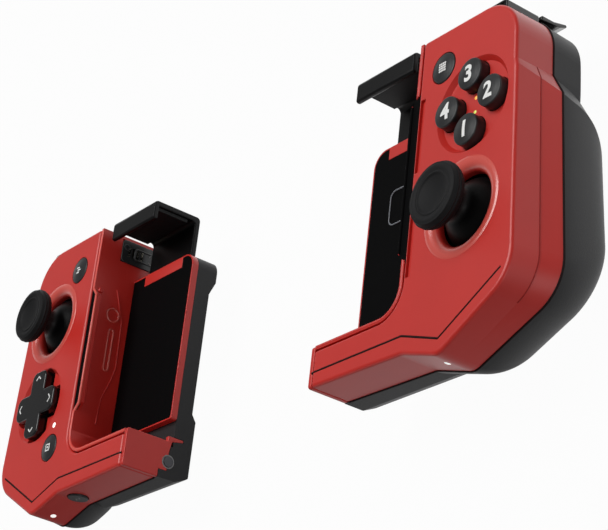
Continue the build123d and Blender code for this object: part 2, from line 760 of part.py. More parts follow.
def cross_pad():
    """Cross-shaped pad with a hub over its pivot."""
    pad = cross_plate(0, cross_back_z, cross_top_z)
    pad += rod(cross_x, cross_y, cross_hub_z, cross_back_z, cross_hub_radius)
    arm = cross_reach - key_dome_radius
    drop = (arm + cross_foot_radius) * sin(radians(cross_tilt))
    foot_z = membrane_top_z + key_dome_height + drop + 2 * running_gap
    for x, y in ((arm, 0), (-arm, 0), (0, arm), (0, -arm)):
        pad += rod(cross_x + x, cross_y + y, foot_z, cross_back_z, cross_foot_radius)
    pocket_z = cross_pivot_z + cross_ball_radius + 2 * running_gap
    pad -= rod(cross_x, cross_y, cross_hub_z - cut_over, pocket_z, cross_ring_radius + fit_gap)
    reach = cross_ring_radius + fit_gap + cross_pin_reach + running_gap
    return pad - rod_y(cross_x, cross_y - reach, cross_y + reach, cross_pivot_z, cross_pin_radius + running_gap)


def cross_ring():
    """Ring of the cross's two-way hinge."""
    half = cross_ring_depth / 2
    ring = rod(cross_x, cross_y, cross_pivot_z - half, cross_pivot_z + half, cross_ring_radius)
    reach = cross_ring_radius + fit_gap + cross_pin_reach
    ring += rod_y(cross_x, cross_y - reach, cross_y + reach, cross_pivot_z, cross_pin_radius)
    ring -= rod(cross_x, cross_y, -deep, cut_over, cross_ring_hole)
    reach = cross_ring_hole + cross_pin_reach + running_gap
    return ring - rod_x(cross_x - reach, cross_x + reach, cross_y, cross_pivot_z, cross_pin_radius + running_gap)


def cross_post():
    """Post and ball that the cross rocks on."""
    post = rod(cross_x, cross_y, membrane_top_z - membrane_depth, cross_pivot_z, cross_post_radius)
    post += Pos(cross_x, cross_y, cross_pivot_z) * Sphere(cross_ball_radius)
    reach = cross_ring_hole + cross_pin_reach
    return post + rod_x(cross_x - reach, cross_x + reach, cross_y, cross_pivot_z, cross_pin_radius)


def boss_holes():
    """Clearance bars round the screw bosses."""
    holes = None
    for x, y in screw_places:
        hole = rod(x, y, cut_over, -deep, boss_radius + hole_slack)
        holes = hole if holes is None else holes + hole
    return holes


def membrane(left):
    """Rubber key sheet on the board."""
    back_z = membrane_top_z - membrane_depth
    if left:
        low = cross_y - cross_reach
        sheet = box(membrane_in_x, membrane_out_x, low, cross_y + cross_reach + board_depth, membrane_top_z, back_z)
        sheet += box(membrane_in_x, membrane_in_x + 2 * small_radius, capture_y - small_radius, low,
                     membrane_top_z, back_z)
        sheet += box(membrane_in_x, membrane_out_x, stick_left_y + board_hole_radius + board_depth,
                     membrane_top_y, membrane_top_z, back_z)
        sheet += box(membrane_in_x, membrane_in_x + small_radius + board_depth, cross_y, membrane_top_y,
                     membrane_top_z, back_z)
        sheet -= rod(cross_x, cross_y, cut_over, -deep, cross_hub_radius + 2 * hole_slack)
        keys = [(view_x, view_y), (capture_x, capture_y)]
        arm = cross_reach - key_dome_radius
        keys += [(cross_x + arm, cross_y), (cross_x - arm, cross_y), (cross_x, cross_y + arm), (cross_x, cross_y - arm)]
    else:
        sheet = box(membrane_in_x, membrane_out_x, membrane_low_y, membrane_top_y, membrane_top_z, back_z)
        keys = face_places() + [(menu_x, menu_y)]
    for x, y in keys:
        sheet += rod(x, y, membrane_top_z, membrane_top_z + key_dome_height, key_dome_radius)
    return sheet - boss_holes()


def circuit_board(left):
    """Board under the key sheet, open round the stick."""
    board = box(board_in_x, board_out_x, board_low_y, board_top_y, board_back_z + board_depth, board_back_z)
    board &= front_form(shell_wall + hole_slack)
    x, y = (stick_left_x, stick_left_y) if left else (stick_right_x, stick_right_y)
    return board - rod(x, y, cut_over, -deep, board_hole_radius) - boss_holes()


def bumper():
    """Shoulder button that rises towards the outer corner."""
    points = [
        (bumper_in_x, bumper_low_y),
        (bumper_in_x, bumper_edge_y),
        (bumper_rise_x, bumper_edge_y),
        (bumper_rise_x + bumper_top_y - bumper_edge_y, bumper_top_y),
        (bumper_out_x - bumper_round, bumper_top_y),
        (bumper_out_x, bumper_edge_y),
        (bumper_out_x, bumper_low_y),
    ]
    radii = [0, bumper_round / 2, bumper_round, bumper_round, bumper_round / 2, bumper_round / 2, 0]
    flange = box(bumper_in_x - bumper_flange, block_x - top_round + bumper_flange, bumper_low_y,
                 top_y - shell_wall - fit_gap, -shell_wall - fit_gap, bumper_back_z - bumper_flange)
    return slab(points, radii, bumper_front_z, bumper_back_z) + flange


def trigger():
    """Trigger: curved blade, web and hub on a pin."""
    points = [
        (trigger_seat_y, trigger_front_z),
        (trigger_seat_y + trigger_blade, trigger_front_z),
        (trigger_seat_y + trigger_blade, (trigger_front_z + trigger_tip_z) / 2),
        (trigger_tip_y, trigger_tip_z),
        (trigger_tip_y - trigger_blade / 2, trigger_tip_z - trigger_blade / 3),
        (trigger_seat_y + trigger_lean, trigger_tip_z + trigger_beak),
    ]
    radii = [0, trigger_blade / 3, trigger_blade, trigger_blade / 6, trigger_blade / 6, 0]
    piece = profile_x(points, radii, trigger_in_x, trigger_out_x)
    mid = (trigger_in_x + trigger_out_x) / 2
    half = trigger_web_x / 2
    piece += box(mid - half, mid + half, trigger_pin_y, trigger_seat_y + trigger_blade / 2,
                 trigger_pin_z + trigger_hub_radius, trigger_pin_z - trigger_hub_radius)
    piece += rod_x(mid - half, mid + half, trigger_pin_y, trigger_pin_z, trigger_hub_radius)
    return piece - rod_x(-deep, deep, trigger_pin_y, trigger_pin_z, trigger_pin_radius + running_gap)


def trigger_pin():
    """Steel pin of the trigger, pressed into two ears."""
    return rod_x(ear_in_x, ear_out_x, trigger_pin_y, trigger_pin_z, trigger_pin_radius)


def link_button():
    """Round button in the lower face of the left half."""
    low = arm_bottom_y + (bend_y - arm_bottom_y) * (link_x - shell_end_x) / (bend_x - shell_end_x)
    inner = low + shell_wall + fit_gap
    piece = rod_y(link_x, low - crown, inner + flange_depth, link_z, link_radius)
    return piece + rod_y(link_x, inner, inner + flange_depth, link_z, link_radius + button_flange)


def lamps(left):
    """Lamp lenses of one half."""
    heel = heel_y + (bend_y - heel_y) * (heel_x - heel_lamp_x) / (heel_x - bend_x)
    group = rod_y(heel_lamp_x, heel, heel + lamp_depth, heel_lamp_z, lamp_radius)
    if left:
        return group + rod(front_lamp_x, front_lamp_y, -lamp_depth, 0, lamp_radius)
    for y in (dot_low_y, dot_high_y):
        group += rod(dot_x, y, -dish_depth, front_boss_z, dot_radius)
    return group


def screws():
    """Four screws of one half, in from the back."""
    group = None
    for x, y in screw_places:
        screw = rod(x, y, screw_tip_z, screw_seat_z, screw_radius)
        screw += rod(x, y, screw_seat_z, screw_seat_z - screw_head_depth, screw_head_radius)
        slot = box(x - screw_head_radius, x + screw_head_radius, y - screw_hole / 3, y + screw_hole / 3,
                   screw_seat_z - screw_head_depth / 2, screw_seat_z - 2 * screw_head_depth)
        screw -= slot
        group = screw if group is None else group + screw
    return group


def half(side):
    """Every piece of one half, drawn as the right one."""
    left = side == "left"
    x, y = (stick_left_x, stick_left_y) if left else (stick_right_x, stick_right_y)
    pieces = {
        "front_shell": front_shell(left),
        "rear_shell": rear_shell(left),
        "liner": liner(left),
        "phone_pad": phone_pad(),
        "edge_strip": edge_strip(left),
        "arm_end_plate": end_profile() - rod_x(-deep, deep, dock_pin_y, dock_pin_z, dock_pin_radius + running_gap),
        "dock_pin": rod_x(arm_end_x - contact_proud, shell_end_x + 2 * shell_wall, dock_pin_y, dock_pin_z,
                          dock_pin_radius),
        "clamp_jaw": clamp_jaw(),
        "jaw_pad": jaw_pad(),
        "jaw_spring": spring_roll(),
        "stick_base": stick_base(x, y),
        "stick_ring": stick_ring(x, y),
        "stick_ball": stick_ball(x, y),
        "stick_stem": stick_stem(x, y),
        "stick_cap": stick_cap(x, y),
        "key_sheet": membrane(left),
        "circuit_board": circuit_board(left),
        "cell": box(cell_x0, cell_x1, cell_y0, cell_y1, cell_back_z, cell_top_z),
        "bumper": bumper(),
        "trigger": trigger(),
        "trigger_pin": trigger_pin(),
        "lamps": lamps(left),
        "screws": screws(),
    }
    pieces = {f"{side}_{name}": piece for name, piece in pieces.items()}
    place = Pos(phone_length / 2, 0, 0)
    if left:
        pieces["contact_block"] = contact_body() - contact_bars(running_gap)
        pieces["contact_bars"] = contact_bars(0)
        pieces["cross_pad"] = cross_pad()
        pieces["cross_ring"] = cross_ring()
        pieces["cross_post"] = cross_post()
        pieces["view_button"] = button(view_x, view_y, small_radius, small_top_z, -shell_wall, small_stem_z)
        pieces["capture_button"] = button(capture_x, capture_y, small_radius, small_top_z, -shell_wall, small_stem_z)
        pieces["link_button"] = link_button()
        return {name: mirror(place * piece, about=Plane.YZ) for name, piece in pieces.items()}
    for number, centre in enumerate(face_places(), start=1):
        pieces[f"face_button_{number}"] = button(*centre, face_radius, face_top_z, front_boss_z)
    pieces["menu_button"] = button(menu_x, menu_y, small_radius, small_top_z, -shell_wall, small_stem_z)
    pieces["charging_port"] = charging_port()
    return {name: place * piece for name, piece in pieces.items()}


def main():
    """Build both halves, stand them on their backs and write one file for each piece."""
    pieces = half("left") | half("right")
    whole = Compound(children=[Compound(piece.solids()) for piece in pieces.values()])
    extent = whole.bounding_box()
    middle = (extent.min.Y + extent.max.Y) / 2
    os.makedirs("parts", exist_ok=True)
    for name, piece in pieces.items():
        placed = Compound(piece.solids()).moved(Location((0, -middle, -extent.min.Z)))
        export_step(placed, os.path.join("parts", name + ".step"))
    print("moved by", round(-middle, 4), round(-extent.min.Z, 4))


if __name__ == "__main__":
    main()
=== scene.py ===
"""Looks of a clip-on phone game controller: finishes, printed marks, small pieces, lights and camera."""
import json
from math import cos, pi, radians, sin

import bmesh
import bpy
from bpy.props import FloatProperty, FloatVectorProperty, PointerProperty
from bpy.types import Operator, Panel, PropertyGroup
from mathutils import Matrix, Vector


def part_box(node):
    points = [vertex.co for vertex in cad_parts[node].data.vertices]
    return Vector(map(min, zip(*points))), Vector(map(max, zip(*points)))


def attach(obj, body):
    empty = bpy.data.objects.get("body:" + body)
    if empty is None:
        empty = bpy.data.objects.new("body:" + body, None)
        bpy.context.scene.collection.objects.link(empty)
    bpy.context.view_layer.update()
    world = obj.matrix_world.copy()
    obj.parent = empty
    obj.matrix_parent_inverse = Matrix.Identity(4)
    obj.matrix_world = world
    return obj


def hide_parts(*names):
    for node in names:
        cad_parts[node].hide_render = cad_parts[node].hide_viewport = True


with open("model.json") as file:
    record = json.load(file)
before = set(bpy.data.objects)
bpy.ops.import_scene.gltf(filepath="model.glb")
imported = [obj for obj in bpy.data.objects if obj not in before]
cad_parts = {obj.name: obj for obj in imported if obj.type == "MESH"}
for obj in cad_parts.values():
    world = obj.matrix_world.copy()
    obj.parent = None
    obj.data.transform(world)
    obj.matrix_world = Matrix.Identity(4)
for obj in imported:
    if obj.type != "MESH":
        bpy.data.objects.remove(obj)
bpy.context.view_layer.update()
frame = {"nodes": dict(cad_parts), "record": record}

bl_info = {
    "name": "Phone controller looks",
    "version": (1, 0, 0),
    "blender": (4, 5, 0),
    "location": "3D View > Sidebar > Controller",
    "description": "Dresses the packed phone controller with finishes, printed marks, lights and a camera",
    "category": "Object",
}

NODES = frame["nodes"]
MM = 0.001

# Places are given in millimetres in the controller's own measure: out from the inner wall, up from the
# phone's middle line, and above the front face.
KEY_SHEET_OUT = 6.0
LINER_TOP = 38.5
FACE_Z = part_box("right_front_shell")[1].z
WALL_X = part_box("left_key_sheet")[1].x * -1.0 - KEY_SHEET_OUT * MM
MIDDLE_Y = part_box("right_liner")[1].y - LINER_TOP * MM
SIDES = {"left": -1.0, "right": 1.0}


class ControllerColours(PropertyGroup):
    """Colours of the finishes."""

    red: FloatVectorProperty(name="Red", description="Front shells, liners and end plates", subtype="COLOR",
                             default=(0.56, 0.022, 0.015), min=0.0, max=1.0)
    charcoal: FloatVectorProperty(name="Charcoal", description="Rear shells", subtype="COLOR",
                                  default=(0.021, 0.021, 0.022), min=0.0, max=1.0)
    black: FloatVectorProperty(name="Black", description="Jaws, strips and pads", subtype="COLOR",
                               default=(0.0035, 0.0035, 0.0038), min=0.0, max=1.0)
    rubber: FloatVectorProperty(name="Rubber", description="Stick caps and pads", subtype="COLOR",
                                default=(0.0035, 0.0035, 0.004), min=0.0, max=1.0)
    button: FloatVectorProperty(name="Button", description="Buttons and cross pad", subtype="COLOR",
                                default=(0.016, 0.017, 0.018), min=0.0, max=1.0)
    ink: FloatVectorProperty(name="Ink", description="Printed marks", subtype="COLOR",
                             default=(0.85, 0.85, 0.83), min=0.0, max=1.0)


class ControllerSizes(PropertyGroup):
    """Sizes that a user would change."""

    print_lift: FloatProperty(name="Print lift", description="Height of printed marks above their surface",
                              unit="LENGTH", default=0.00004, min=0.0, max=0.001)


# Fine grain and broad mottling of the finishes
GRAIN_DETAIL = 3.0
MOTTLE_SCALE, MOTTLE_DETAIL = 60.0, 4.0
MOTTLE_RAMP = (0.3, 0.7)
ROUGHNESS_SWING = 0.12
RELIEF_SHARE = 0.5


def noise(tree, place, scale, detail):
    """Noise that stays with the piece."""
    node = tree.nodes.new("ShaderNodeTexNoise")
    node.inputs["Scale"].default_value = scale
    node.inputs["Detail"].default_value = detail
    tree.links.new(place.outputs["Object"], node.inputs["Vector"])
    return node


def finish(name, colour, roughness, metallic=0.0, grain=0.0002, bump=0.05, spread=0.06, shine=0.5):
    """A moulded or plated finish: grain in the roughness, colour and bump of one Principled shader."""
    material = bpy.data.materials.new(name)
    material.use_nodes = True
    tree = material.node_tree
    shader = tree.nodes["Principled BSDF"]
    shader.inputs["Metallic"].default_value = metallic
    shader.inputs["Specular IOR Level"].default_value = shine
    place = tree.nodes.new("ShaderNodeTexCoord")
    fine = noise(tree, place, 1.0 / grain, GRAIN_DETAIL)
    broad = noise(tree, place, MOTTLE_SCALE, MOTTLE_DETAIL)
    ramp = tree.nodes.new("ShaderNodeValToRGB")
    low = tuple(c * (1.0 - spread) for c in colour)
    high = tuple(min(c * (1.0 + spread), 1.0) for c in colour)
    for element, position, shade in zip(ramp.color_ramp.elements, MOTTLE_RAMP, (low, high)):
        element.color = (*shade, 1.0)
        element.position = position
    tree.links.new(broad.outputs["Fac"], ramp.inputs["Fac"])
    tree.links.new(ramp.outputs["Color"], shader.inputs["Base Color"])
    rough = tree.nodes.new("ShaderNodeMapRange")
    rough.inputs["To Min"].default_value = roughness * (1.0 - ROUGHNESS_SWING)
    rough.inputs["To Max"].default_value = min(roughness * (1.0 + ROUGHNESS_SWING), 1.0)
    tree.links.new(fine.outputs["Fac"], rough.inputs["Value"])
    tree.links.new(rough.outputs["Result"], shader.inputs["Roughness"])
    relief = tree.nodes.new("ShaderNodeBump")
    relief.inputs["Strength"].default_value = bump
    relief.inputs["Distance"].default_value = grain * RELIEF_SHARE
    tree.links.new(fine.outputs["Fac"], relief.inputs["Height"])
    tree.links.new(relief.outputs["Normal"], shader.inputs["Normal"])
    return material


FINISHES = {}


def finishes():
    """The finishes, made once."""
    if FINISHES:
        return FINISHES
    c = bpy.context.scene.controller_colours
    FINISHES.update({
        "red_plastic": finish("red satin plastic", tuple(c.red), 0.38, grain=0.00025, bump=0.04, spread=0.03),
        "charcoal_plastic": finish("charcoal textured plastic", tuple(c.charcoal), 0.50, grain=0.0004,
                                   bump=0.16, shine=0.2),
        "black_plastic": finish("black plastic", tuple(c.black), 0.42, grain=0.0003, bump=0.08, shine=0.14),
        "gloss_black": finish("glossy black plastic", tuple(c.black), 0.16, bump=0.01),
        "button_plastic": finish("button plastic", tuple(c.button), 0.34, grain=0.0003, bump=0.04,
                                 shine=0.35),
        "black_rubber": finish("black rubber", tuple(c.rubber), 0.62, grain=0.0003, bump=0.15, shine=0.18),
        "matt_black": finish("matt black rubber", (0.0012, 0.0012, 0.0014), 0.7, grain=0.0003, bump=0.1,
                             shine=0.04),
        "grey_silicone": finish("grey silicone", (0.17, 0.18, 0.20), 0.6),
        "board": finish("board green", (0.01, 0.07, 0.03), 0.4),
        "cell_foil": finish("cell foil", (0.55, 0.56, 0.58), 0.35, metallic=1.0),
        "lamp_lens": glow(finish("lamp lens", (0.9, 0.9, 0.88), 0.3), (1.0, 0.98, 0.95), 0.7),
        "contact_metal": finish("plated contact", (0.78, 0.74, 0.62), 0.25, metallic=1.0),
        "steel": finish("steel", (0.45, 0.45, 0.46), 0.3, metallic=1.0),
        "ink": finish("white ink", tuple(c.ink), 0.5, spread=0.02),
        "amber_lens": glow(finish("amber lens", (0.95, 0.40, 0.06), 0.3), (1.0, 0.42, 0.08), 0.6),
        "green_lens": glow(finish("green lens", (0.60, 0.66, 0.12), 0.3), (0.62, 0.66, 0.12), 0.35),
        # Lighter red along the left inner wall's front edge: painted highlight.
        "rim_highlight_red": finish("red edge with painted highlight", (0.72, 0.085, 0.060), 0.30, grain=0.0003, bump=0.02,
                          spread=0.02),
        # Lighter, shinier red on the well lips and on the inner walls' ring and slot rims: painted highlight.
        "lip_highlight_red": finish("red lip with painted highlight", (0.66, 0.085, 0.065), 0.26, grain=0.0003, bump=0.02,
                          spread=0.02, shine=0.8),
        # Near-black beads in the grooves and along the parting seam: painted shade.
        "seam_shade": finish("painted seam shade", (0.012, 0.006, 0.006), 0.6, shine=0.1),
        # Dark red beads along the facet creases: painted shade.
        "crease": finish("painted crease shade", (0.30, 0.012, 0.009), 0.5, shine=0.2),
        "dark_steel": finish("blackened steel", (0.06, 0.06, 0.065), 0.35, metallic=1.0),
        "mark_grey": finish("grey mark", (0.22, 0.22, 0.22), 0.5),
    })
    return FINISHES


def glow(material, colour, strength):
    """Lights a lens a little from inside."""
    shader = material.node_tree.nodes["Principled BSDF"]
    shader.inputs["Emission Color"].default_value = (*colour, 1.0)
    shader.inputs["Emission Strength"].default_value = strength
    return material


def paint(node, material):
    """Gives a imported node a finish."""
    mesh = NODES[node].data
    mesh.materials.clear()
    mesh.materials.append(material)


def at(side, out, up, above):
    """Point of one half, from its own measure."""
    return Vector((SIDES[side] * (WALL_X + out * MM), MIDDLE_Y + up * MM, FACE_Z + above * MM))


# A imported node's mesh is welded and its flat faces joined before its edges are rounded
WELD_DISTANCE = 0.00001
FLAT_ANGLE = 0.3
SOFT_ANGLE = 28.0
EDGE_SEGMENTS = 3


def soften(node, width):
    """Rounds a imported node's sharp edges."""
    obj = NODES[node]
    weld = obj.modifiers.new("weld", "WELD")
    weld.merge_threshold = WELD_DISTANCE
    flat = obj.modifiers.new("flat", "DECIMATE")
    flat.decimate_type = "DISSOLVE"
    flat.angle_limit = radians(FLAT_ANGLE)
    bevel = obj.modifiers.new("bevel", "BEVEL")
    bevel.width = width
    bevel.segments = EDGE_SEGMENTS
    bevel.limit_method = "ANGLE"
    bevel.angle_limit = radians(SOFT_ANGLE)
    bevel.use_clamp_overlap = False
    bevel.harden_normals = True


def keep(obj, body, slot, *nodes, finish_name=None):
    """Adds a piece to the scene on its body, with its finish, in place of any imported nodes."""
    if obj.name not in bpy.context.scene.collection.objects:
        bpy.context.scene.collection.objects.link(obj)
    obj.data.materials.clear()
    obj.data.materials.append(finishes()[finish_name or slot])
    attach(obj, body)
    if nodes:
        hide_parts(*nodes)
    return obj


# Points nearer than this are one, a radius below this is on the axis, and a direction above this is near +Y
SAME_PLACE = 1e-7
ON_AXIS = 1e-6
NEAR_Y = 0.9


def mesh_object(name, mesh_builder, smooth=40.0):
    """Object from a function that fills a bmesh."""
    bm = bmesh.new()
    mesh_builder(bm)
    bmesh.ops.remove_doubles(bm, verts=bm.verts, dist=SAME_PLACE)
    bmesh.ops.recalc_face_normals(bm, faces=bm.faces)
    mesh = bpy.data.meshes.new(name)
    bm.to_mesh(mesh)
    bm.free()
    mesh.shade_smooth()
    mesh.set_sharp_from_angle(angle=radians(smooth))
    return bpy.data.objects.new(name, mesh)


def basis(normal, up=(0, 1, 0)):
    """Turn that takes +Z to a direction and keeps +Y near another."""
    z = Vector(normal).normalized()
    x = Vector(up).cross(z).normalized()
    return Matrix((x, z.cross(x), z)).transposed()


def lathe(name, profile, origin, normal=(0, 0, 1), steps=96, smooth=40.0):
    """Closed turned piece from (radius, height) pairs in millimetres, from axis to axis."""
    turn = basis(normal, (0, 1, 0) if abs(normal[1]) < NEAR_Y else (0, 0, 1))

    def build(bm):
        rings = []
        for radius, height in profile:
            count = 1 if radius < ON_AXIS else steps
            ring = []
            for i in range(count):
                a = 2 * pi * i / steps
                point = Vector((radius * cos(a), radius * sin(a), height)) * MM
                ring.append(bm.verts.new(origin + turn @ point))
            rings.append(ring)
        for low, high in zip(rings, rings[1:]):
            for i in range(steps):
                j = (i + 1) % steps
                corners = [low[i % len(low)], low[j % len(low)], high[j % len(high)], high[i % len(high)]]
                unique = list(dict.fromkeys(corners))
                if len(unique) > 2:
                    bm.faces.new(unique)

    return mesh_object(name, build, smooth)


def arc(cx, cy, radius, start, end, steps=6):
    """Points on an arc, angles in degrees."""
    return [(cx + radius * cos(radians(start + (end - start) * i / steps)),
             cy + radius * sin(radians(start + (end - start) * i / steps))) for i in range(steps + 1)]


PRISM_SMOOTH = 30.0


def prism(name, loops, low, high, origin, normal=(0, 0, 1), up=(0, 1, 0)):
    """Closed straight pieces from one or more outlines in millimetres."""
    turn = basis(normal, up)

    def build(bm):
        for loop in loops:
            bottom = [bm.verts.new(origin + turn @ (Vector((x, y, low)) * MM)) for x, y in loop]
            top = [bm.verts.new(origin + turn @ (Vector((x, y, high)) * MM)) for x, y in loop]
            bm.faces.new(list(reversed(bottom)))
            bm.faces.new(top)
            for i in range(len(loop)):
                j = (i + 1) % len(loop)
                bm.faces.new((bottom[i], bottom[j], top[j], top[i]))

    return mesh_object(name, build, PRISM_SMOOTH)


def stroke(x0, y0, x1, y1, width):
    """Outline of a straight stroke."""
    along = Vector((x1 - x0, y1 - y0)).normalized() * width / 2
    across = Vector((-along.y, along.x))
    start, end = Vector((x0, y0)), Vector((x1, y1))
    return [tuple(start - across), tuple(end - across), tuple(end + across), tuple(start + across)]


def rounded(x0, x1, y0, y1, radius, steps=5):
    """Outline of a rectangle with rounded corners."""
    return (arc(x1 - radius, y1 - radius, radius, 0, 90, steps)
            + arc(x0 + radius, y1 - radius, radius, 90, 180, steps)
            + arc(x0 + radius, y0 + radius, radius, 180, 270, steps)
            + arc(x1 - radius, y0 + radius, radius, 270, 360, steps))


BEAD_RESOLUTION = 3


def wire(name, points, radius, closed=False):
    """Round bead along a line of points."""
    curve = bpy.data.curves.new(name, "CURVE")
    curve.dimensions = "3D"
    curve.bevel_depth = radius * MM
    curve.bevel_resolution = BEAD_RESOLUTION
    curve.use_fill_caps = True
    spline = curve.splines.new("POLY")
    spline.points.add(len(points) - 1)
    for target, point in zip(spline.points, points):
        target.co = (*point, 1.0)
    spline.use_cyclic_u = closed
    return bpy.data.objects.new(name, curve)


def round_edges(obj, width, segments=EDGE_SEGMENTS, angle=35.0):
    """Rounds the sharp edges of a piece."""
    bevel = obj.modifiers.new("round", "BEVEL")
    bevel.width = width * MM
    bevel.segments = segments
    bevel.limit_method = "ANGLE"
    bevel.angle_limit = radians(angle)
    bevel.harden_normals = True
    return obj


# Sticks
STICKS = {"left": (23.2, 11.4), "right": (21.9, -17.2)}
PIVOT = -9.0
CAP_TOP = 9.6
CAP_DISH = (1.0, 2.0, 3.0, 4.0, 4.7, 5.2)
DISH_DEPTH, DISH_RISE, DISH_POWER = 1.15, 0.75, 2.2
# Radius and drop from the top: thin ridge, broad rim, side with two fine rings, and round under
CAP_OUTSIDE = (
    (5.35, 0.22), (5.55, 0.16), (5.75, 0.22), (5.9, 0.33),
    (6.3, 0.16), (6.8, 0.03), (7.2, 0.0), (7.6, 0.08), (7.95, 0.25),
    (8.1, 0.22), (8.22, 0.28), (8.3, 0.5), (8.5, 0.85), (8.62, 1.2),
    (8.78, 1.3), (8.85, 1.42), (8.78, 1.54), (8.66, 1.65), (8.68, 2.1),
    (8.8, 2.2), (8.85, 2.32), (8.78, 2.44), (8.62, 2.55),
    (8.5, 3.2), (8.2, 3.7), (7.7, 4.05), (7.0, 4.2),
)
CAP_UNDER, CAP_HOLLOW = 4.2, 3.9
CAP_MOUTH, CAP_FIT = 1.2, 0.1
NECK_RADIUS = 3.6
NECK_DROP, NECK_LOW = 3.95, 2.6
NECK_FLARE = ((0.08, 1.9), (0.35, 1.25))
DOME_RADIUS, DOME_WALL = 10.6, 0.9
DOME_START, DOME_SWEEP, DOME_STEPS = 24.5, 35.5, 12
DOME_INNER_START, DOME_INNER_SWEEP, DOME_INNER_STEPS = 59.5, 47.0, 8
SPINDLE_RADIUS, SPINDLE_ANGLE, SPINDLE_END = 1.9, 11.3, 0.4
# Radius and height of the raised lip round each well
LIP = ((9.95, -1.5), (10.4, -0.7), (10.9, -0.22), (11.5, 0.08), (12.1, 0.22), (12.8, 0.2), (13.4, 0.1),
       (13.7, -0.06))
LIP_DEPTH = 0.6
FINE_STEPS = 128
CAP_SMOOTH, STEM_SMOOTH = 60.0, 50.0


def cap_profile():
    """Rubber cap: dish, thin ridge, broad rim, two fine rings on the side and a hollow underside."""
    bottom = CAP_TOP - DISH_DEPTH
    profile = [(0, bottom)]
    profile += [(r, bottom + DISH_RISE * (r / CAP_DISH[-1]) ** DISH_POWER) for r in CAP_DISH]
    profile += [(r, CAP_TOP - drop) for r, drop in CAP_OUTSIDE]
    return profile + [(NECK_RADIUS + CAP_MOUTH, CAP_TOP - CAP_UNDER),
                      (NECK_RADIUS + CAP_FIT, CAP_TOP - CAP_HOLLOW), (0, CAP_TOP - CAP_HOLLOW)]


def stem_profile():
    """Neck, dome and spindle."""
    profile = [(0, CAP_TOP - NECK_DROP), (NECK_RADIUS, CAP_TOP - NECK_DROP), (NECK_RADIUS, NECK_LOW)]
    profile += [(NECK_RADIUS + flare, height) for flare, height in NECK_FLARE]
    for i in range(DOME_STEPS + 1):
        a = radians(DOME_START + DOME_SWEEP * i / DOME_STEPS)
        profile.append((DOME_RADIUS * sin(a), PIVOT + DOME_RADIUS * cos(a)))
    inner = DOME_RADIUS - DOME_WALL
    for i in range(DOME_INNER_STEPS + 1):
        a = radians(DOME_INNER_START - DOME_INNER_SWEEP * i / DOME_INNER_STEPS)
        profile.append((inner * sin(a), PIVOT + inner * cos(a)))
    return profile + [(SPINDLE_RADIUS, PIVOT + inner * cos(radians(SPINDLE_ANGLE))),
                      (SPINDLE_RADIUS, PIVOT - SPINDLE_END), (0, PIVOT - SPINDLE_END)]


class CONTROLLER_OT_sticks(Operator):
    """Build the sticks' caps and domes and the lips of their wells"""

    bl_idname = "controller.sticks"
    bl_label = "Sticks"

    def execute(self, context):
        for side, (out, up) in STICKS.items():
            origin = at(side, out, up, 0)
            cap = lathe(f"{side}_cap", cap_profile(), origin, steps=FINE_STEPS, smooth=CAP_SMOOTH)
            keep(cap, f"{side}_stick", "black_rubber", f"{side}_stick_cap")
            stem = lathe(f"{side}_stem", stem_profile(), origin, smooth=STEM_SMOOTH)
            # The stem takes black plastic, darker than its slot's button plastic: partly its own black and
            # partly painted shade in the well.
            keep(stem, f"{side}_stick", "button_plastic", f"{side}_stick_stem", finish_name="black_plastic")
            outline = [*LIP, *reversed([(r, z - LIP_DEPTH) for r, z in LIP]), LIP[0]]
            lip = lathe(f"{side}_well_lip", outline, origin, steps=FINE_STEPS, smooth=STEM_SMOOTH)
            # The lip takes the lighter red: painted highlight of its lit roll.
            keep(lip, f"{side}_half", "red_plastic", finish_name="lip_highlight_red")
        return {"FINISHED"}


# Buttons
FACE_CENTRE = (23.2, 11.4)
FACE_PITCH = 8.0
FACE_RADIUS = 4.36
FACE_TOP = 2.2
FACE_UNDER = -3.5
SMALL_RADIUS = 4.32
SMALL_TOP = 0.6
SMALL_UNDER = -2.3
FLANGE = 0.75
FLANGE_DEPTH = 1.0
CROWN, CROWN_STEPS = 0.5, 4
EDGE, EDGE_ARC = 0.4, (80, 0, 5)
SMALL_STEM, STEM_PART = -5.05, 3
SMALL_BUTTONS = {"menu": ("right", 10.7, 27.0), "view": ("left", 11.3, 26.8),
                 "capture": ("left", 12.0, -34.3)}
PRINT_DEPTH = 0.05
NUMERAL_SIZE, NUMERAL_WEIGHT, NUMERAL_DEPTH = 6.3, 0.032, 0.03
NUMERAL_RESOLUTION, NUMERAL_ROUNDS, NUMERAL_EDGE = 4, 4, 0.5
GRID_DOTS, GRID_HALF, GRID_ROUND, GRID_STEPS = (-1.05, -0.35, 0.35, 1.05), 0.27, 0.08, 2
BARS, BAR_WIDTH = ((-1.2, 0.75, 0.5, 0.75), (-0.5, -0.05, 1.2, -0.05), (-1.2, -0.85, 0.5, -0.85)), 0.45
FRAME_WIDTH, FRAME_DOT = 0.4, (-0.35, 0.35, -0.35, 0.35, 0.3, 4)
FRAME = ((-1.2, -1.0, 1.2, -1.0), (-1.2, 1.0, 1.2, 1.0), (-1.0, -0.8, -1.0, 0.8), (1.0, -0.8, 1.0, 0.8))


def crown_drop(radius, r):
    """How far a crowned top has dropped at a distance from its centre."""
    ball = (radius * radius + CROWN * CROWN) / (2 * CROWN)
    return ball - (ball * ball - r * r) ** 0.5


def button_profile(radius, top, under, stem=None):
    """Crowned button with a rounded edge, a flange and maybe a stem."""
    inner = radius - EDGE
    places = [inner * i / CROWN_STEPS for i in range(CROWN_STEPS + 1)]
    profile = [(r, top - crown_drop(radius, r)) for r in places]
    edge_z = top - crown_drop(radius, inner) - EDGE
    profile += arc(inner, edge_z, EDGE, *EDGE_ARC)
    profile += [(radius, under), (radius + FLANGE, under), (radius + FLANGE, under - FLANGE_DEPTH)]
    if stem is not None:
        profile += [(radius / STEM_PART, under - FLANGE_DEPTH), (radius / STEM_PART, stem), (0, stem)]
    else:
        profile += [(0, under - FLANGE_DEPTH)]
    return profile


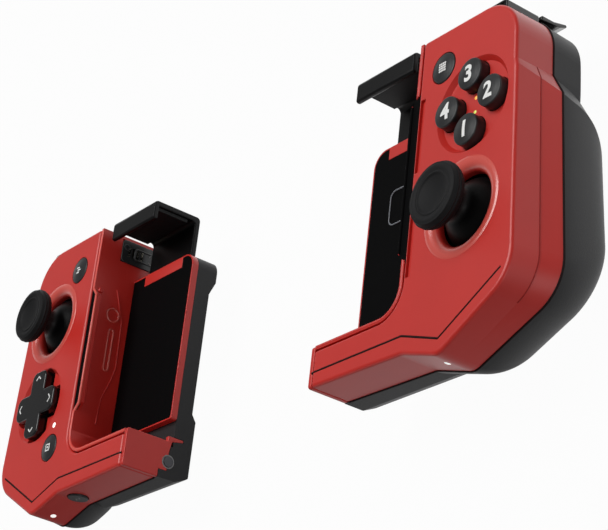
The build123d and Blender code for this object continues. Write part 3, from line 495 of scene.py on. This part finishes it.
def print_on(name, loops, origin, height, radius):
    """Thin printed strokes that follow a crowned top."""
    lift = bpy.context.scene.controller_sizes.print_lift / MM

    def build(bm):
        for loop in loops:
            top = [(x, y, height - crown_drop(radius, min((x * x + y * y) ** 0.5, radius))) for x, y in loop]
            below, above = ([bm.verts.new(origin + Vector((x, y, z + rise)) * MM) for x, y, z in top]
                            for rise in (-PRINT_DEPTH, lift))
            bm.faces.new(list(reversed(below)))
            bm.faces.new(above)
            for i in range(len(loop)):
                j = (i + 1) % len(loop)
                bm.faces.new((below[i], below[j], above[j], above[i]))

    return mesh_object(name, build, PRISM_SMOOTH)


def numeral(name, text, origin, height, radius):
    """Plain number that follows a crowned top."""
    curve = bpy.data.curves.new(name, "FONT")
    curve.body = text
    curve.size = NUMERAL_SIZE
    curve.align_x = "CENTER"
    curve.align_y = "CENTER"
    curve.offset = NUMERAL_SIZE * NUMERAL_WEIGHT
    curve.extrude = NUMERAL_DEPTH
    curve.resolution_u = NUMERAL_RESOLUTION
    text_object = bpy.data.objects.new(name, curve)
    bpy.context.scene.collection.objects.link(text_object)
    drawn = text_object.evaluated_get(bpy.context.evaluated_depsgraph_get())
    mesh = bpy.data.meshes.new_from_object(drawn)
    bpy.data.objects.remove(text_object)
    places = [[v.co[i] for v in mesh.vertices] for i in range(2)]
    middle = [(min(values) + max(values)) / 2 for values in places]
    lift = bpy.context.scene.controller_sizes.print_lift / MM
    bm = bmesh.new()
    bm.from_mesh(mesh)
    for _ in range(NUMERAL_ROUNDS):
        bmesh.ops.triangulate(bm, faces=bm.faces)
        long_edges = [e for e in bm.edges if e.calc_length() > NUMERAL_EDGE]
        bmesh.ops.subdivide_edges(bm, edges=long_edges, cuts=1)
    bmesh.ops.triangulate(bm, faces=bm.faces)
    for vertex in bm.verts:
        x, y = vertex.co.x - middle[0], vertex.co.y - middle[1]
        z = height - crown_drop(radius, (x * x + y * y) ** 0.5) + (lift if vertex.co.z > 0 else -lift)
        vertex.co = origin + Vector((x, y, z)) * MM
    bm.to_mesh(mesh)
    bm.free()
    return bpy.data.objects.new(name, mesh)


class CONTROLLER_OT_buttons(Operator):
    """Build the round buttons with plain numbers and marks"""

    bl_idname = "controller.buttons"
    bl_label = "Buttons"

    def execute(self, context):
        out, up = FACE_CENTRE
        places = ((out, up - FACE_PITCH), (out + FACE_PITCH, up), (out, up + FACE_PITCH),
                  (out - FACE_PITCH, up))
        for number, (x, y) in enumerate(places, start=1):
            origin = at("right", x, y, 0)
            name = f"face_button_{number}"
            button = lathe(f"{name}_cap", button_profile(FACE_RADIUS, FACE_TOP, FACE_UNDER), origin)
            keep(button, f"face_{number}", "button_plastic", name)
            mark = numeral(f"{name}_number", str(number), origin, FACE_TOP, FACE_RADIUS)
            keep(mark, f"face_{number}", "button_plastic", finish_name="ink")
        grid = [rounded(x - GRID_HALF, x + GRID_HALF, y - GRID_HALF, y + GRID_HALF, GRID_ROUND, GRID_STEPS)
                for x in GRID_DOTS for y in GRID_DOTS]
        marks = {"menu": grid, "view": [stroke(*bar, BAR_WIDTH) for bar in BARS],
                 "capture": [*(stroke(*side, FRAME_WIDTH) for side in FRAME), rounded(*FRAME_DOT)]}
        for name, (side, x, y) in SMALL_BUTTONS.items():
            origin = at(side, x, y, 0)
            profile = button_profile(SMALL_RADIUS, SMALL_TOP, SMALL_UNDER, SMALL_STEM)
            keep(lathe(f"{name}_cap", profile, origin), name, "button_plastic", f"{name}_button")
            mark = print_on(f"{name}_mark", marks[name], origin, SMALL_TOP, SMALL_RADIUS)
            keep(mark, name, "button_plastic", finish_name="ink")
        return {"FINISHED"}


# Cross pad
CROSS = (23.5, -17.2)
CROSS_REACH = 11.3
CROSS_HALF = 4.2
CROSS_TOP = 1.7
CROSS_BACK = -3.4
CROSS_TIP, CROSS_TIP_STEPS = 2.6, 8
CROSS_CORNER, CROSS_CORNER_TURNS = 0.5, (90, 60, 30, 0)
CROSS_EDGE, CROSS_EDGE_SEGMENTS, CROSS_EDGE_ANGLE = 0.55, 4, 50.0
CHEVRON, CHEVRON_WIDTH = ((-1.35, 8.3), (0, 9.5), (1.35, 8.3)), 0.42
CHEVRON_DEPTH, CHEVRON_LIFT = 0.1, 0.04


def cross_loop():
    """Outline of the cross, anticlockwise."""
    loop = []
    for quarter in range(4):
        a = radians(90 * quarter)
        corner = [(CROSS_HALF + CROSS_CORNER - CROSS_CORNER * cos(radians(t)),
                   CROSS_HALF + CROSS_CORNER - CROSS_CORNER * sin(radians(t)))
                  for t in CROSS_CORNER_TURNS]
        first = arc(CROSS_REACH - CROSS_TIP, CROSS_HALF - CROSS_TIP, CROSS_TIP, 0, 90, CROSS_TIP_STEPS)
        second = arc(CROSS_HALF - CROSS_TIP, CROSS_REACH - CROSS_TIP, CROSS_TIP, 0, 90, CROSS_TIP_STEPS)
        for x, y in first + corner + second:
            loop.append((x * cos(a) - y * sin(a), x * sin(a) + y * cos(a)))
    return loop


class CONTROLLER_OT_cross(Operator):
    """Build the cross pad with its marks"""

    bl_idname = "controller.cross"
    bl_label = "Cross pad"

    def execute(self, context):
        origin = at("left", *CROSS, 0)
        pad = prism("cross_top", [cross_loop()], CROSS_BACK, CROSS_TOP, origin)
        round_edges(pad, CROSS_EDGE, CROSS_EDGE_SEGMENTS, CROSS_EDGE_ANGLE)
        keep(pad, "cross", "gloss_black", "cross_pad")
        marks = []
        for quarter in range(4):
            turn = Matrix.Rotation(radians(90 * quarter), 2)
            for near, far in zip(CHEVRON, CHEVRON[1:]):
                marks.append([tuple(turn @ Vector(p)) for p in stroke(*near, *far, CHEVRON_WIDTH)])
        mark = prism("cross_marks", marks, CROSS_TOP - CHEVRON_DEPTH, CROSS_TOP + CHEVRON_LIFT, origin)
        keep(mark, "cross", "gloss_black", finish_name="ink")
        return {"FINISHED"}


# Grooves, seams and creases with dark beads of painted shade, and the front edge of the inner walls with a
# painted highlight on the left
GROOVE = ((-33.2, -46.3), (3.0, -46.3), (17.2, -51.0), (38.3, -38.6))
GROOVE_FILL, GROOVE_PROUD = 0.34, 0.06
SEAM_Z, SEAM_BEAD = -12.5, 0.34
CREASE_Z, CREASE_BEAD = -7.0, 0.15
JOIN_DISTANCE, AT_HEIGHT = 1e-6, 2e-5
LEAST_TURN = 3.0
LEAST_FLAT = 0.8
LEAST_LENGTH = 8.0
LEDGE = {"left": 14.4, "right": 20.0}
LEDGE_LOW = -22.2
LEDGE_WIDTH = 2.0
LEDGE_OVER = 0.2
LEDGE_SLOPE = 2.6
WALL = 1.2
WALL_BEAD, WALL_BEAD_Z = 0.5, -0.55
ARM_TOP = -38.6
ARM_BEAD_END = -32.9
NOOK, NOOK_STEPS = 7.5, 10
TOP_BEAD_END = 38.1


def outer_chains(node, height, flat_below):
    """Lines along a packed shell's outer surface at a height, read from its mesh as it was loaded."""
    bm = bmesh.new()
    bm.from_mesh(NODES[node].data)
    bmesh.ops.remove_doubles(bm, verts=bm.verts, dist=JOIN_DISTANCE)
    middle = sum((v.co for v in bm.verts), Vector()) / len(bm.verts)
    links = {}
    for edge in bm.edges:
        if any(abs(v.co.z - height) > AT_HEIGHT for v in edge.verts) or len(edge.link_faces) != 2:
            continue
        steep, flat = sorted((f.normal.copy() for f in edge.link_faces), key=lambda n: abs(n.z))
        centre = (edge.verts[0].co + edge.verts[1].co) / 2
        turned = steep.angle(flat, 0.0) > radians(LEAST_TURN)
        if turned and (abs(flat.z) > LEAST_FLAT) == flat_below and steep.dot(centre - middle) > 0:
            for a, b in ((0, 1), (1, 0)):
                links.setdefault(tuple(edge.verts[a].co), []).append(tuple(edge.verts[b].co))
    bm.free()
    chains = []
    while links:
        ends = [p for p, near in links.items() if len(near) == 1]
        point = min(ends) if ends else min(links)
        chain = [point]
        while links.get(point):
            following = links[point].pop(0)
            links[following].remove(point)
            if not links[point]:
                del links[point]
            chain.append(following)
            point = following
        links = {p: near for p, near in links.items() if near}
        if sum((Vector(a) - Vector(b)).length for a, b in zip(chain, chain[1:])) > LEAST_LENGTH * MM:
            chains.append(chain)
    return chains


class CONTROLLER_OT_seams(Operator):
    """Build the groove lines, the seams and creases as dark beads of painted shade, and the front edges of
    the inner walls, the left one with a painted highlight
    """

    bl_idname = "controller.seams"
    bl_label = "Painted shade lines and highlighted edges"

    def execute(self, context):
        for side in SIDES:
            body = f"{side}_half"
            # Near-black bead filling the groove: painted shade.
            groove = [at(side, x, y, GROOVE_PROUD - GROOVE_FILL) for x, y in GROOVE]
            keep(wire(f"{side}_groove_line", groove, GROOVE_FILL), body, "red_plastic", finish_name="seam_shade")
            # Dark beads along the parting seam and the facet creases: painted shade.
            for kind, height, flat_below, bead in (("seam_shade", SEAM_Z, True, SEAM_BEAD),
                                                   ("crease", CREASE_Z, False, CREASE_BEAD)):
                chains = outer_chains(f"{side}_front_shell", FACE_Z + height * MM, flat_below)
                for number, chain in enumerate(chains, start=1):
                    line = wire(f"{side}_{kind}_{number}", [Vector(p) for p in chain], bead)
                    keep(line, body, "charcoal_plastic", finish_name=kind)
            middle = WALL / 2
            top = LEDGE[side]
            inset = middle - LEDGE_WIDTH - LEDGE_OVER
            upper = [(middle, TOP_BEAD_END), (middle, top + LEDGE_SLOPE)]
            ledge = [(inset, top + LEDGE_OVER), (inset, LEDGE_LOW - LEDGE_OVER)]
            radius = NOOK + middle
            lower = [(middle, LEDGE_LOW - LEDGE_SLOPE)]
            lower += arc(middle - radius, ARM_TOP - middle + radius, radius, 0, -90, NOOK_STEPS)
            lower += [(ARM_BEAD_END, ARM_TOP - middle)]
            # On the left the whole edge takes the lighter red as a painted highlight; on the right it stays
            # plain red, and black along the ledge.
            if side == "left":
                runs = {"highlight_edge": (upper + ledge + lower, "rim_highlight_red")}
            else:
                runs = {"upper_edge": (upper, "red_plastic"), "ledge_edge": (ledge, "matt_black"),
                        "lower_edge": (lower, "red_plastic")}
            for name, (line, finish_name) in runs.items():
                points = [at(side, x, y, WALL_BEAD_Z) for x, y in line]
                keep(wire(f"{side}_{name}", points, WALL_BEAD), body, "red_plastic", finish_name=finish_name)
        return {"FINISHED"}


# Small raised details of the inner walls
RING_OUT, RING_UP, RING_Z, RING_RADIUS, RING_BEAD, RING_STEPS = -0.1, 10.3, -8.2, 2.2, 0.4, 40
SLOT_Z, SLOT_HIGH, SLOT_LOW, SLOT_ROUND, SLOT_BEAD, SLOT_STEPS = -8.5, 4.6, -7.8, 0.85, 0.38, 10
WALL_LINE = ((19.3, -8.4), (9.0, -11.8), (-6.7, -12.2), (-11.5, -11.0), (-18.5, -8.6), (-26.9, -8.2))
WALL_LINE_OUT, WALL_LINE_BEAD = -0.05, 0.25
# Black sheet over the red band at the top of the left tray: painted shadow of the jaw.
TRAY_SHADOW_SHEET = ((-28.1, 20.6), (-9.5, 20.6), (-9.5, 23.9), (-28.1, 23.9))
TRAY_SHADOW_DEPTH, TRAY_SHADOW_Z = 1.0, -14.25
BOSS = ((0, 0.5), (0.7, 0.5), (0.9, 0.3), (1.0, -0.3), (0, -0.3))
BOSS_UP, BOSS_Z = 17.1, -2.6
SMALL_STEPS = 32
# Contact block, in its own measure from its middle
BLOCK_PLACE = (-0.4, 33.5, -14.4)
BLOCK_OUTLINE, BLOCK_DEPTH, BLOCK_EDGE = (-6.6, 6.6, -3.9, 3.9, 1.2), 1.6, 0.25
RECESS_OUTLINE, RECESS_BEAD = (-1.8, 5.0, -1.9, 1.9, 0.8), 0.3
SCREW = ((0, 0.02), (0.35, 0.02), (0.4, 0.15), (0.95, 0.15), (1.15, -0.05), (1.15, -0.6), (0, -0.6))
SCREW_PLACE = (-5.0, 1.4, 0)
CONTACT_ARC, CONTACT_ARC_BEAD = (5.2, 0, 1.9, -150, 150, 24), 0.2


class CONTROLLER_OT_inner_wall(Operator):
    """Build the raised details of the inner walls, the black sheet of painted shadow on the left tray and the
    contact block
    """

    bl_idname = "controller.inner_wall"
    bl_label = "Inner walls"

    def execute(self, context):
        for side in SIDES:
            body = f"{side}_half"
            turns = [2 * pi * i / RING_STEPS for i in range(RING_STEPS)]
            ring = [at(side, RING_OUT, RING_UP + RING_RADIUS * cos(t), RING_Z + RING_RADIUS * sin(t))
                    for t in turns]
            # The ring and slot rims take the lighter red as a painted highlight.
            keep(wire(f"{side}_ring_boss", ring, RING_BEAD, True), body, "red_plastic", finish_name="lip_highlight_red")
            slot = [at(side, RING_OUT, y, SLOT_Z + z) for y, z in
                    arc(SLOT_HIGH, 0, SLOT_ROUND, -90, 90, SLOT_STEPS)
                    + arc(SLOT_LOW, 0, SLOT_ROUND, 90, 270, SLOT_STEPS)]
            keep(wire(f"{side}_slot_rim", slot, SLOT_BEAD, True), body, "red_plastic", finish_name="lip_highlight_red")
            line = [at(side, WALL_LINE_OUT, y, z) for y, z in WALL_LINE]
            keep(wire(f"{side}_wall_line", line, WALL_LINE_BEAD), body, "red_plastic")
            if side == "left":
                # Black sheet of painted shadow from the jaw over the red band of the tray
                shadow_sheet = prism("tray_shadow_sheet", [TRAY_SHADOW_SHEET], -TRAY_SHADOW_DEPTH, 0.0, Vector((0, 0, 0)))
                place = Matrix.Translation(at(side, 0, 0, TRAY_SHADOW_Z))
                shadow_sheet.data.transform(place @ Matrix.Diagonal((-1, 1, 1, 1)))
                shadow_sheet.data.flip_normals()
                keep(shadow_sheet, body, "black_rubber", finish_name="matt_black")
            boss = lathe(f"{side}_wall_boss", BOSS, at(side, 0, BOSS_UP, BOSS_Z), (-SIDES[side], 0, 0),
                         SMALL_STEPS)
            keep(boss, body, "red_plastic")
        self.contact_block()
        return {"FINISHED"}

    def contact_block(self):
        """Block with the rim of its recess, a screw and a ring."""
        origin = at("left", *BLOCK_PLACE)
        normal = (1, 0, 0)
        turn = basis(normal)
        block = prism("contact_frame", [rounded(*BLOCK_OUTLINE)], -BLOCK_DEPTH, 0.0, origin, normal)
        keep(round_edges(block, BLOCK_EDGE), "left_half", "black_plastic", "contact_block",
             finish_name="button_plastic")
        ridge = [origin + turn @ (Vector((x, y, 0.0)) * MM) for x, y in rounded(*RECESS_OUTLINE)]
        keep(wire("contact_recess_rim", ridge, RECESS_BEAD, True), "left_half", "black_plastic",
             finish_name="button_plastic")
        screw = lathe("contact_screw", SCREW, origin + turn @ (Vector(SCREW_PLACE) * MM), normal, SMALL_STEPS)
        keep(screw, "left_half", "steel", finish_name="dark_steel")
        arc_points = [origin + turn @ (Vector((x, y, 0.0)) * MM) for x, y in arc(*CONTACT_ARC)]
        keep(wire("contact_arc", arc_points, CONTACT_ARC_BEAD), "left_half", "steel", finish_name="mark_grey")


# Lamps, the inlay of the right pad, the round button's mark and the dock pins' rings
LENS = ((0, 0.12), (0.5, 0.08), (0.88, -0.05), (0.88, -1.2), (0, -1.2))
HEEL_PLACE, HEEL_NORMAL = (13.8, -54.44, -6.4), (-0.284, -0.959)
FRONT_LAMP_PLACE = (11.2, -26.9, 0.02)
DOT = ((0, 0.1), (0.35, 0.06), (0.54, -0.02), (0.54, -1.0), (0, -1.0))
DOT_OUT, DOT_Z = 23.1, -1.18
PLUG = ((0, 0.01), (0.56, 0.01), (0.56, -1.0), (0, -1.0))
PLUG_OUT, PLUG_Z = 24.3, -1.2
DOTS = (("amber", 13.6, 12.7), ("green", 9.4, 8.5))
DOT_STEPS = 24
PAD_LINE_IN, PAD_LINE_OUT = -25.4, -14.5
PAD_LINE_LOW, PAD_LINE_HIGH = -1.0, 9.4
PAD_LINE_ROUND = 2.0
PAD_LINE_Z, PAD_LINE_BEAD = -14.2, 0.22
LINK_PLACE = (0.4, -6.6)
LINK_MARK = ((-1.3, -0.5, -0.4, 0.5), (-0.4, 0.5, 0.4, -0.5), (0.4, -0.5, 1.3, 0.5))
LINK_WIDTH, LINK_DEPTH, LINK_LIFT = 0.3, 0.1, 0.03
DOCK_RING = ((1.75, -0.3), (1.75, 0.12), (2.1, 0.12), (2.2, -0.3), (1.75, -0.3))
DOCK_PLACE = (-34.5, -45.0, -15.4)
DOCK_STEPS = 40


class CONTROLLER_OT_lamps(Operator):
    """Build the lamps, the light line on the right pad, the link button's mark and the dock rings"""

    bl_idname = "controller.lamps"
    bl_label = "Lamps and inlay"

    def execute(self, context):
        for side, s in SIDES.items():
            normal = (s * HEEL_NORMAL[0], HEEL_NORMAL[1], 0.0)
            heel = lathe(f"{side}_heel_lamp", LENS, at(side, *HEEL_PLACE), normal, SMALL_STEPS)
            keep(heel, f"{side}_half", "lamp_lens", f"{side}_lamps")
        front = lathe("front_lamp", LENS, at("left", *FRONT_LAMP_PLACE), steps=SMALL_STEPS)
        keep(front, "left_half", "lamp_lens")
        for name, up, hole in DOTS:
            piece = lathe(f"{name}_dot", DOT, at("right", DOT_OUT, up, DOT_Z), steps=DOT_STEPS)
            keep(piece, "right_half", "lamp_lens", finish_name=f"{name}_lens")
            fill = lathe(f"{name}_plug", PLUG, at("right", PLUG_OUT, hole, PLUG_Z), steps=DOT_STEPS)
            keep(fill, "right_half", "red_plastic")
        line = [(PAD_LINE_OUT, PAD_LINE_LOW)]
        line += arc(PAD_LINE_IN + PAD_LINE_ROUND, PAD_LINE_LOW + PAD_LINE_ROUND, PAD_LINE_ROUND, 270, 180)
        line += arc(PAD_LINE_IN + PAD_LINE_ROUND, PAD_LINE_HIGH - PAD_LINE_ROUND, PAD_LINE_ROUND, 180, 90)
        line += [(PAD_LINE_OUT, PAD_LINE_HIGH)]
        points = [at("right", x, y, PAD_LINE_Z) for x, y in line]
        keep(wire("pad_line", points, PAD_LINE_BEAD), "right_half", "grey_silicone")
        self.link_mark()
        self.dock_rings()
        return {"FINISHED"}

    def link_mark(self):
        """Grey strokes on the round button in the lower face."""
        middle = at("left", LINK_PLACE[0], 0, LINK_PLACE[1])
        middle.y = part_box("link_button")[0].y
        strokes = [stroke(*line, LINK_WIDTH) for line in LINK_MARK]
        mark = prism("link_mark", strokes, -LINK_DEPTH, LINK_LIFT, middle, (0, -1, 0), (0, 0, 1))
        keep(mark, "link", "button_plastic", finish_name="mark_grey")

    def dock_rings(self):
        """Light ring round each dock pin."""
        for side, s in SIDES.items():
            ring = lathe(f"{side}_dock_ring", DOCK_RING, at(side, *DOCK_PLACE), (-s, 0, 0), DOCK_STEPS)
            keep(ring, f"{side}_half", "steel", finish_name="mark_grey")


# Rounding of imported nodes' edges, and nodes whose finish isn't their slot's
SOFT_EDGES = {"liner": 0.12, "clamp_jaw": 0.5, "arm_end_plate": 0.3, "bumper": 0.4, "trigger": 0.4,
              "phone_pad": 0.1, "edge_strip": 0.1, "dock_pin": 0.25, "jaw_pad": 0.2}
LINK_EDGE = 0.3
FINISH_OF = {"phone_pad": "matt_black", "bumper": "gloss_black", "trigger": "gloss_black",
             "dock_pin": "dark_steel", "edge_strip": "matt_black"}


class CONTROLLER_OT_paint(Operator):
    """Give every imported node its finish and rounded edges"""

    bl_idname = "controller.paint"
    bl_label = "Finishes"

    def execute(self, context):
        for part in frame["record"]["subparts"]:
            kind = part["node"].partition("_")[2]
            paint(part["node"], finishes()[FINISH_OF.get(kind, part["material_slot"])])
        for side in SIDES:
            for name, width in SOFT_EDGES.items():
                soften(f"{side}_{name}", width * MM)
        soften("link_button", LINK_EDGE * MM)
        return {"FINISHED"}


# Camera fitted to the reference view, then floor, studio and lamps
EYE = (439.51, -246.28, 274.90)
FORWARD, UP = (-0.74467, 0.43258, -0.50827), (0.28969, 0.89555, 0.33775)
SENSOR_WIDTH, LENS_LENGTH, CLIP_START = 36.0, 119.6, 0.01
FLOOR_HALF, FLOOR_GREY, FLOOR_ROUGHNESS, FLOOR_SHINE = 4.0, 0.38, 0.9, 0.1
FLOOR_ALONG, FLOOR_FROM, FLOOR_TO = (0.3, 0.95, 0.0), -0.12, 0.06
HORIZON_FROM, HORIZON_TO = 0.05, 0.42
FLOOR_WHITE_SHARE = 0.97
FLOOR_DIM, FLOOR_BRIGHT = 0.15, 1.6
HORIZON_STRENGTH = 1.0
WORLD_STRENGTH = 0.17
LAMPS = (("key", (-0.1, 0.45, 1.35), 0.9, 16.0), ("side", (1.3, -0.75, 0.4), 0.8, 3.0))


class CONTROLLER_OT_stage(Operator):
    """Set up the floor, lights, world and camera"""

    bl_idname = "controller.stage"
    bl_label = "Stage"

    def execute(self, context):
        scene = context.scene
        scene.view_settings.view_transform = "Standard"
        eye = Vector(EYE) * MM + Vector((0.0, MIDDLE_Y, FACE_Z))
        forward = Vector(FORWARD)
        right = forward.cross(Vector(UP)).normalized()
        up = right.cross(forward)
        camera = bpy.data.objects.new("camera", bpy.data.cameras.new("camera"))
        scene.collection.objects.link(camera)
        turn = Matrix((right, up, -forward)).transposed().to_4x4()
        camera.matrix_world = Matrix.Translation(eye) @ turn
        camera.data.sensor_width = SENSOR_WIDTH
        camera.data.lens = LENS_LENGTH
        camera.data.clip_start = CLIP_START
        scene.camera = camera
        self.floor(scene)
        self.lights(scene)
        return {"FINISHED"}

    def floor(self, scene):
        """Large pale floor that shows white to the camera and in reflections."""
        mesh = bpy.data.meshes.new("floor")
        corners = [(x * FLOOR_HALF, y * FLOOR_HALF, 0) for x, y in ((-1, -1), (1, -1), (1, 1), (-1, 1))]
        mesh.from_pydata(corners, [], [(0, 1, 2, 3)])
        floor = bpy.data.objects.new("floor", mesh)
        scene.collection.objects.link(floor)
        material = bpy.data.materials.new("pale floor")
        material.use_nodes = True
        tree = material.node_tree
        shader = tree.nodes["Principled BSDF"]
        shader.inputs["Base Color"].default_value = (FLOOR_GREY, FLOOR_GREY, FLOOR_GREY, 1.0)
        shader.inputs["Roughness"].default_value = FLOOR_ROUGHNESS
        shader.inputs["Specular IOR Level"].default_value = FLOOR_SHINE
        self.white_where_seen(tree, shader.outputs["BSDF"], tree.nodes["Material Output"], FLOOR_WHITE_SHARE,
                              ("Is Camera Ray", "Is Transmission Ray", "Is Glossy Ray"))
        mesh.materials.append(material)

    def white_where_seen(self, tree, shade, output, share, rays):
        """Mixes in plain white for what the named rays see."""
        path = tree.nodes.new("ShaderNodeLightPath")
        seen = path.outputs[rays[0]]
        for ray in rays[1:]:
            either = tree.nodes.new("ShaderNodeMath")
            either.operation = "MAXIMUM"
            tree.links.new(seen, either.inputs[0])
            tree.links.new(path.outputs[ray], either.inputs[1])
            seen = either.outputs[0]
        scaled = tree.nodes.new("ShaderNodeMath")
        scaled.operation = "MULTIPLY"
        scaled.inputs[1].default_value = share
        tree.links.new(seen, scaled.inputs[0])
        white = tree.nodes.new("ShaderNodeEmission")
        if "Is Glossy Ray" in rays:
            self.uneven_reflection(tree, white, path)
        mix = tree.nodes.new("ShaderNodeMixShader")
        tree.links.new(scaled.outputs[0], mix.inputs[0])
        tree.links.new(shade, mix.inputs[1])
        tree.links.new(white.outputs[0], mix.inputs[2])
        tree.links.new(mix.outputs[0], output.inputs["Surface"])

    def uneven_reflection(self, tree, white, path):
        """Makes the floor that reflections see dim in front and bright behind and to the right."""
        place = tree.nodes.new("ShaderNodeNewGeometry")
        along = tree.nodes.new("ShaderNodeVectorMath")
        along.operation = "DOT_PRODUCT"
        along.inputs[1].default_value = FLOOR_ALONG
        tree.links.new(place.outputs["Position"], along.inputs[0])
        bright = tree.nodes.new("ShaderNodeMapRange")
        bright.inputs["From Min"].default_value = FLOOR_FROM
        bright.inputs["From Max"].default_value = FLOOR_TO
        bright.inputs["To Min"].default_value = FLOOR_DIM
        bright.inputs["To Max"].default_value = FLOOR_BRIGHT
        tree.links.new(along.outputs["Value"], bright.inputs["Value"])
        choose = tree.nodes.new("ShaderNodeMix")
        tree.links.new(path.outputs["Is Glossy Ray"], choose.inputs["Factor"])
        choose.inputs["A"].default_value = 1.0
        tree.links.new(bright.outputs["Result"], choose.inputs["B"])
        tree.links.new(choose.outputs["Result"], white.inputs["Strength"])

    def horizon(self, tree):
        """Studio that reflections see as white near the floor and dim above."""
        place = tree.nodes.new("ShaderNodeTexCoord")
        split = tree.nodes.new("ShaderNodeSeparateXYZ")
        tree.links.new(place.outputs["Generated"], split.inputs[0])
        height = tree.nodes.new("ShaderNodeMapRange")
        height.inputs["From Min"].default_value = HORIZON_FROM
        height.inputs["From Max"].default_value = HORIZON_TO
        height.inputs["To Min"].default_value = HORIZON_STRENGTH
        height.inputs["To Max"].default_value = WORLD_STRENGTH
        tree.links.new(split.outputs["Z"], height.inputs["Value"])
        path = tree.nodes.new("ShaderNodeLightPath")
        choose = tree.nodes.new("ShaderNodeMix")
        tree.links.new(path.outputs["Is Glossy Ray"], choose.inputs["Factor"])
        choose.inputs["A"].default_value = WORLD_STRENGTH
        tree.links.new(height.outputs["Result"], choose.inputs["B"])
        tree.links.new(choose.outputs["Result"], tree.nodes["Background"].inputs["Strength"])

    def lights(self, scene):
        """White studio and two large soft lamps."""
        world = bpy.data.worlds.new("studio")
        world.use_nodes = True
        tree = world.node_tree
        tree.nodes["Background"].inputs["Color"].default_value = (1.0, 1.0, 1.0, 1.0)
        self.horizon(tree)
        self.white_where_seen(tree, tree.nodes["Background"].outputs[0], tree.nodes["World Output"], 1.0,
                              ("Is Camera Ray", "Is Transmission Ray"))
        scene.world = world
        for name, place, size, power in LAMPS:
            lamp = bpy.data.lights.new(name, "AREA")
            lamp.size = size
            lamp.energy = power
            obj = bpy.data.objects.new(name, lamp)
            scene.collection.objects.link(obj)
            obj.location = place
            obj.rotation_euler = (-Vector(place)).to_track_quat("-Z", "Y").to_euler()


class CONTROLLER_PT_panel(Panel):
    """Lists the controller's operators and values"""

    bl_idname = "CONTROLLER_PT_panel"
    bl_label = "Controller"
    bl_space_type = "VIEW_3D"
    bl_region_type = "UI"
    bl_category = "Controller"

    def draw(self, context):
        for values in (context.scene.controller_colours, context.scene.controller_sizes):
            for key in values.__annotations__:
                self.layout.prop(values, key)
        for operator in OPERATORS:
            self.layout.operator(operator.bl_idname)


OPERATORS = (CONTROLLER_OT_paint, CONTROLLER_OT_sticks, CONTROLLER_OT_buttons, CONTROLLER_OT_cross,
             CONTROLLER_OT_seams, CONTROLLER_OT_inner_wall, CONTROLLER_OT_lamps, CONTROLLER_OT_stage)
CLASSES = (ControllerColours, ControllerSizes, *OPERATORS, CONTROLLER_PT_panel)


def register():
    """Registers the classes and their values."""
    for cls in CLASSES:
        bpy.utils.register_class(cls)
    bpy.types.Scene.controller_colours = PointerProperty(type=ControllerColours)
    bpy.types.Scene.controller_sizes = PointerProperty(type=ControllerSizes)


def unregister():
    """Removes the values and the classes."""
    del bpy.types.Scene.controller_sizes
    del bpy.types.Scene.controller_colours
    for cls in reversed(CLASSES):
        bpy.utils.unregister_class(cls)


def main():
    """Dresses the controller."""
    register()
    for operator in OPERATORS:
        group, name = operator.bl_idname.split(".")
        getattr(getattr(bpy.ops, group), name)()


if __name__ == "__main__":
    main()
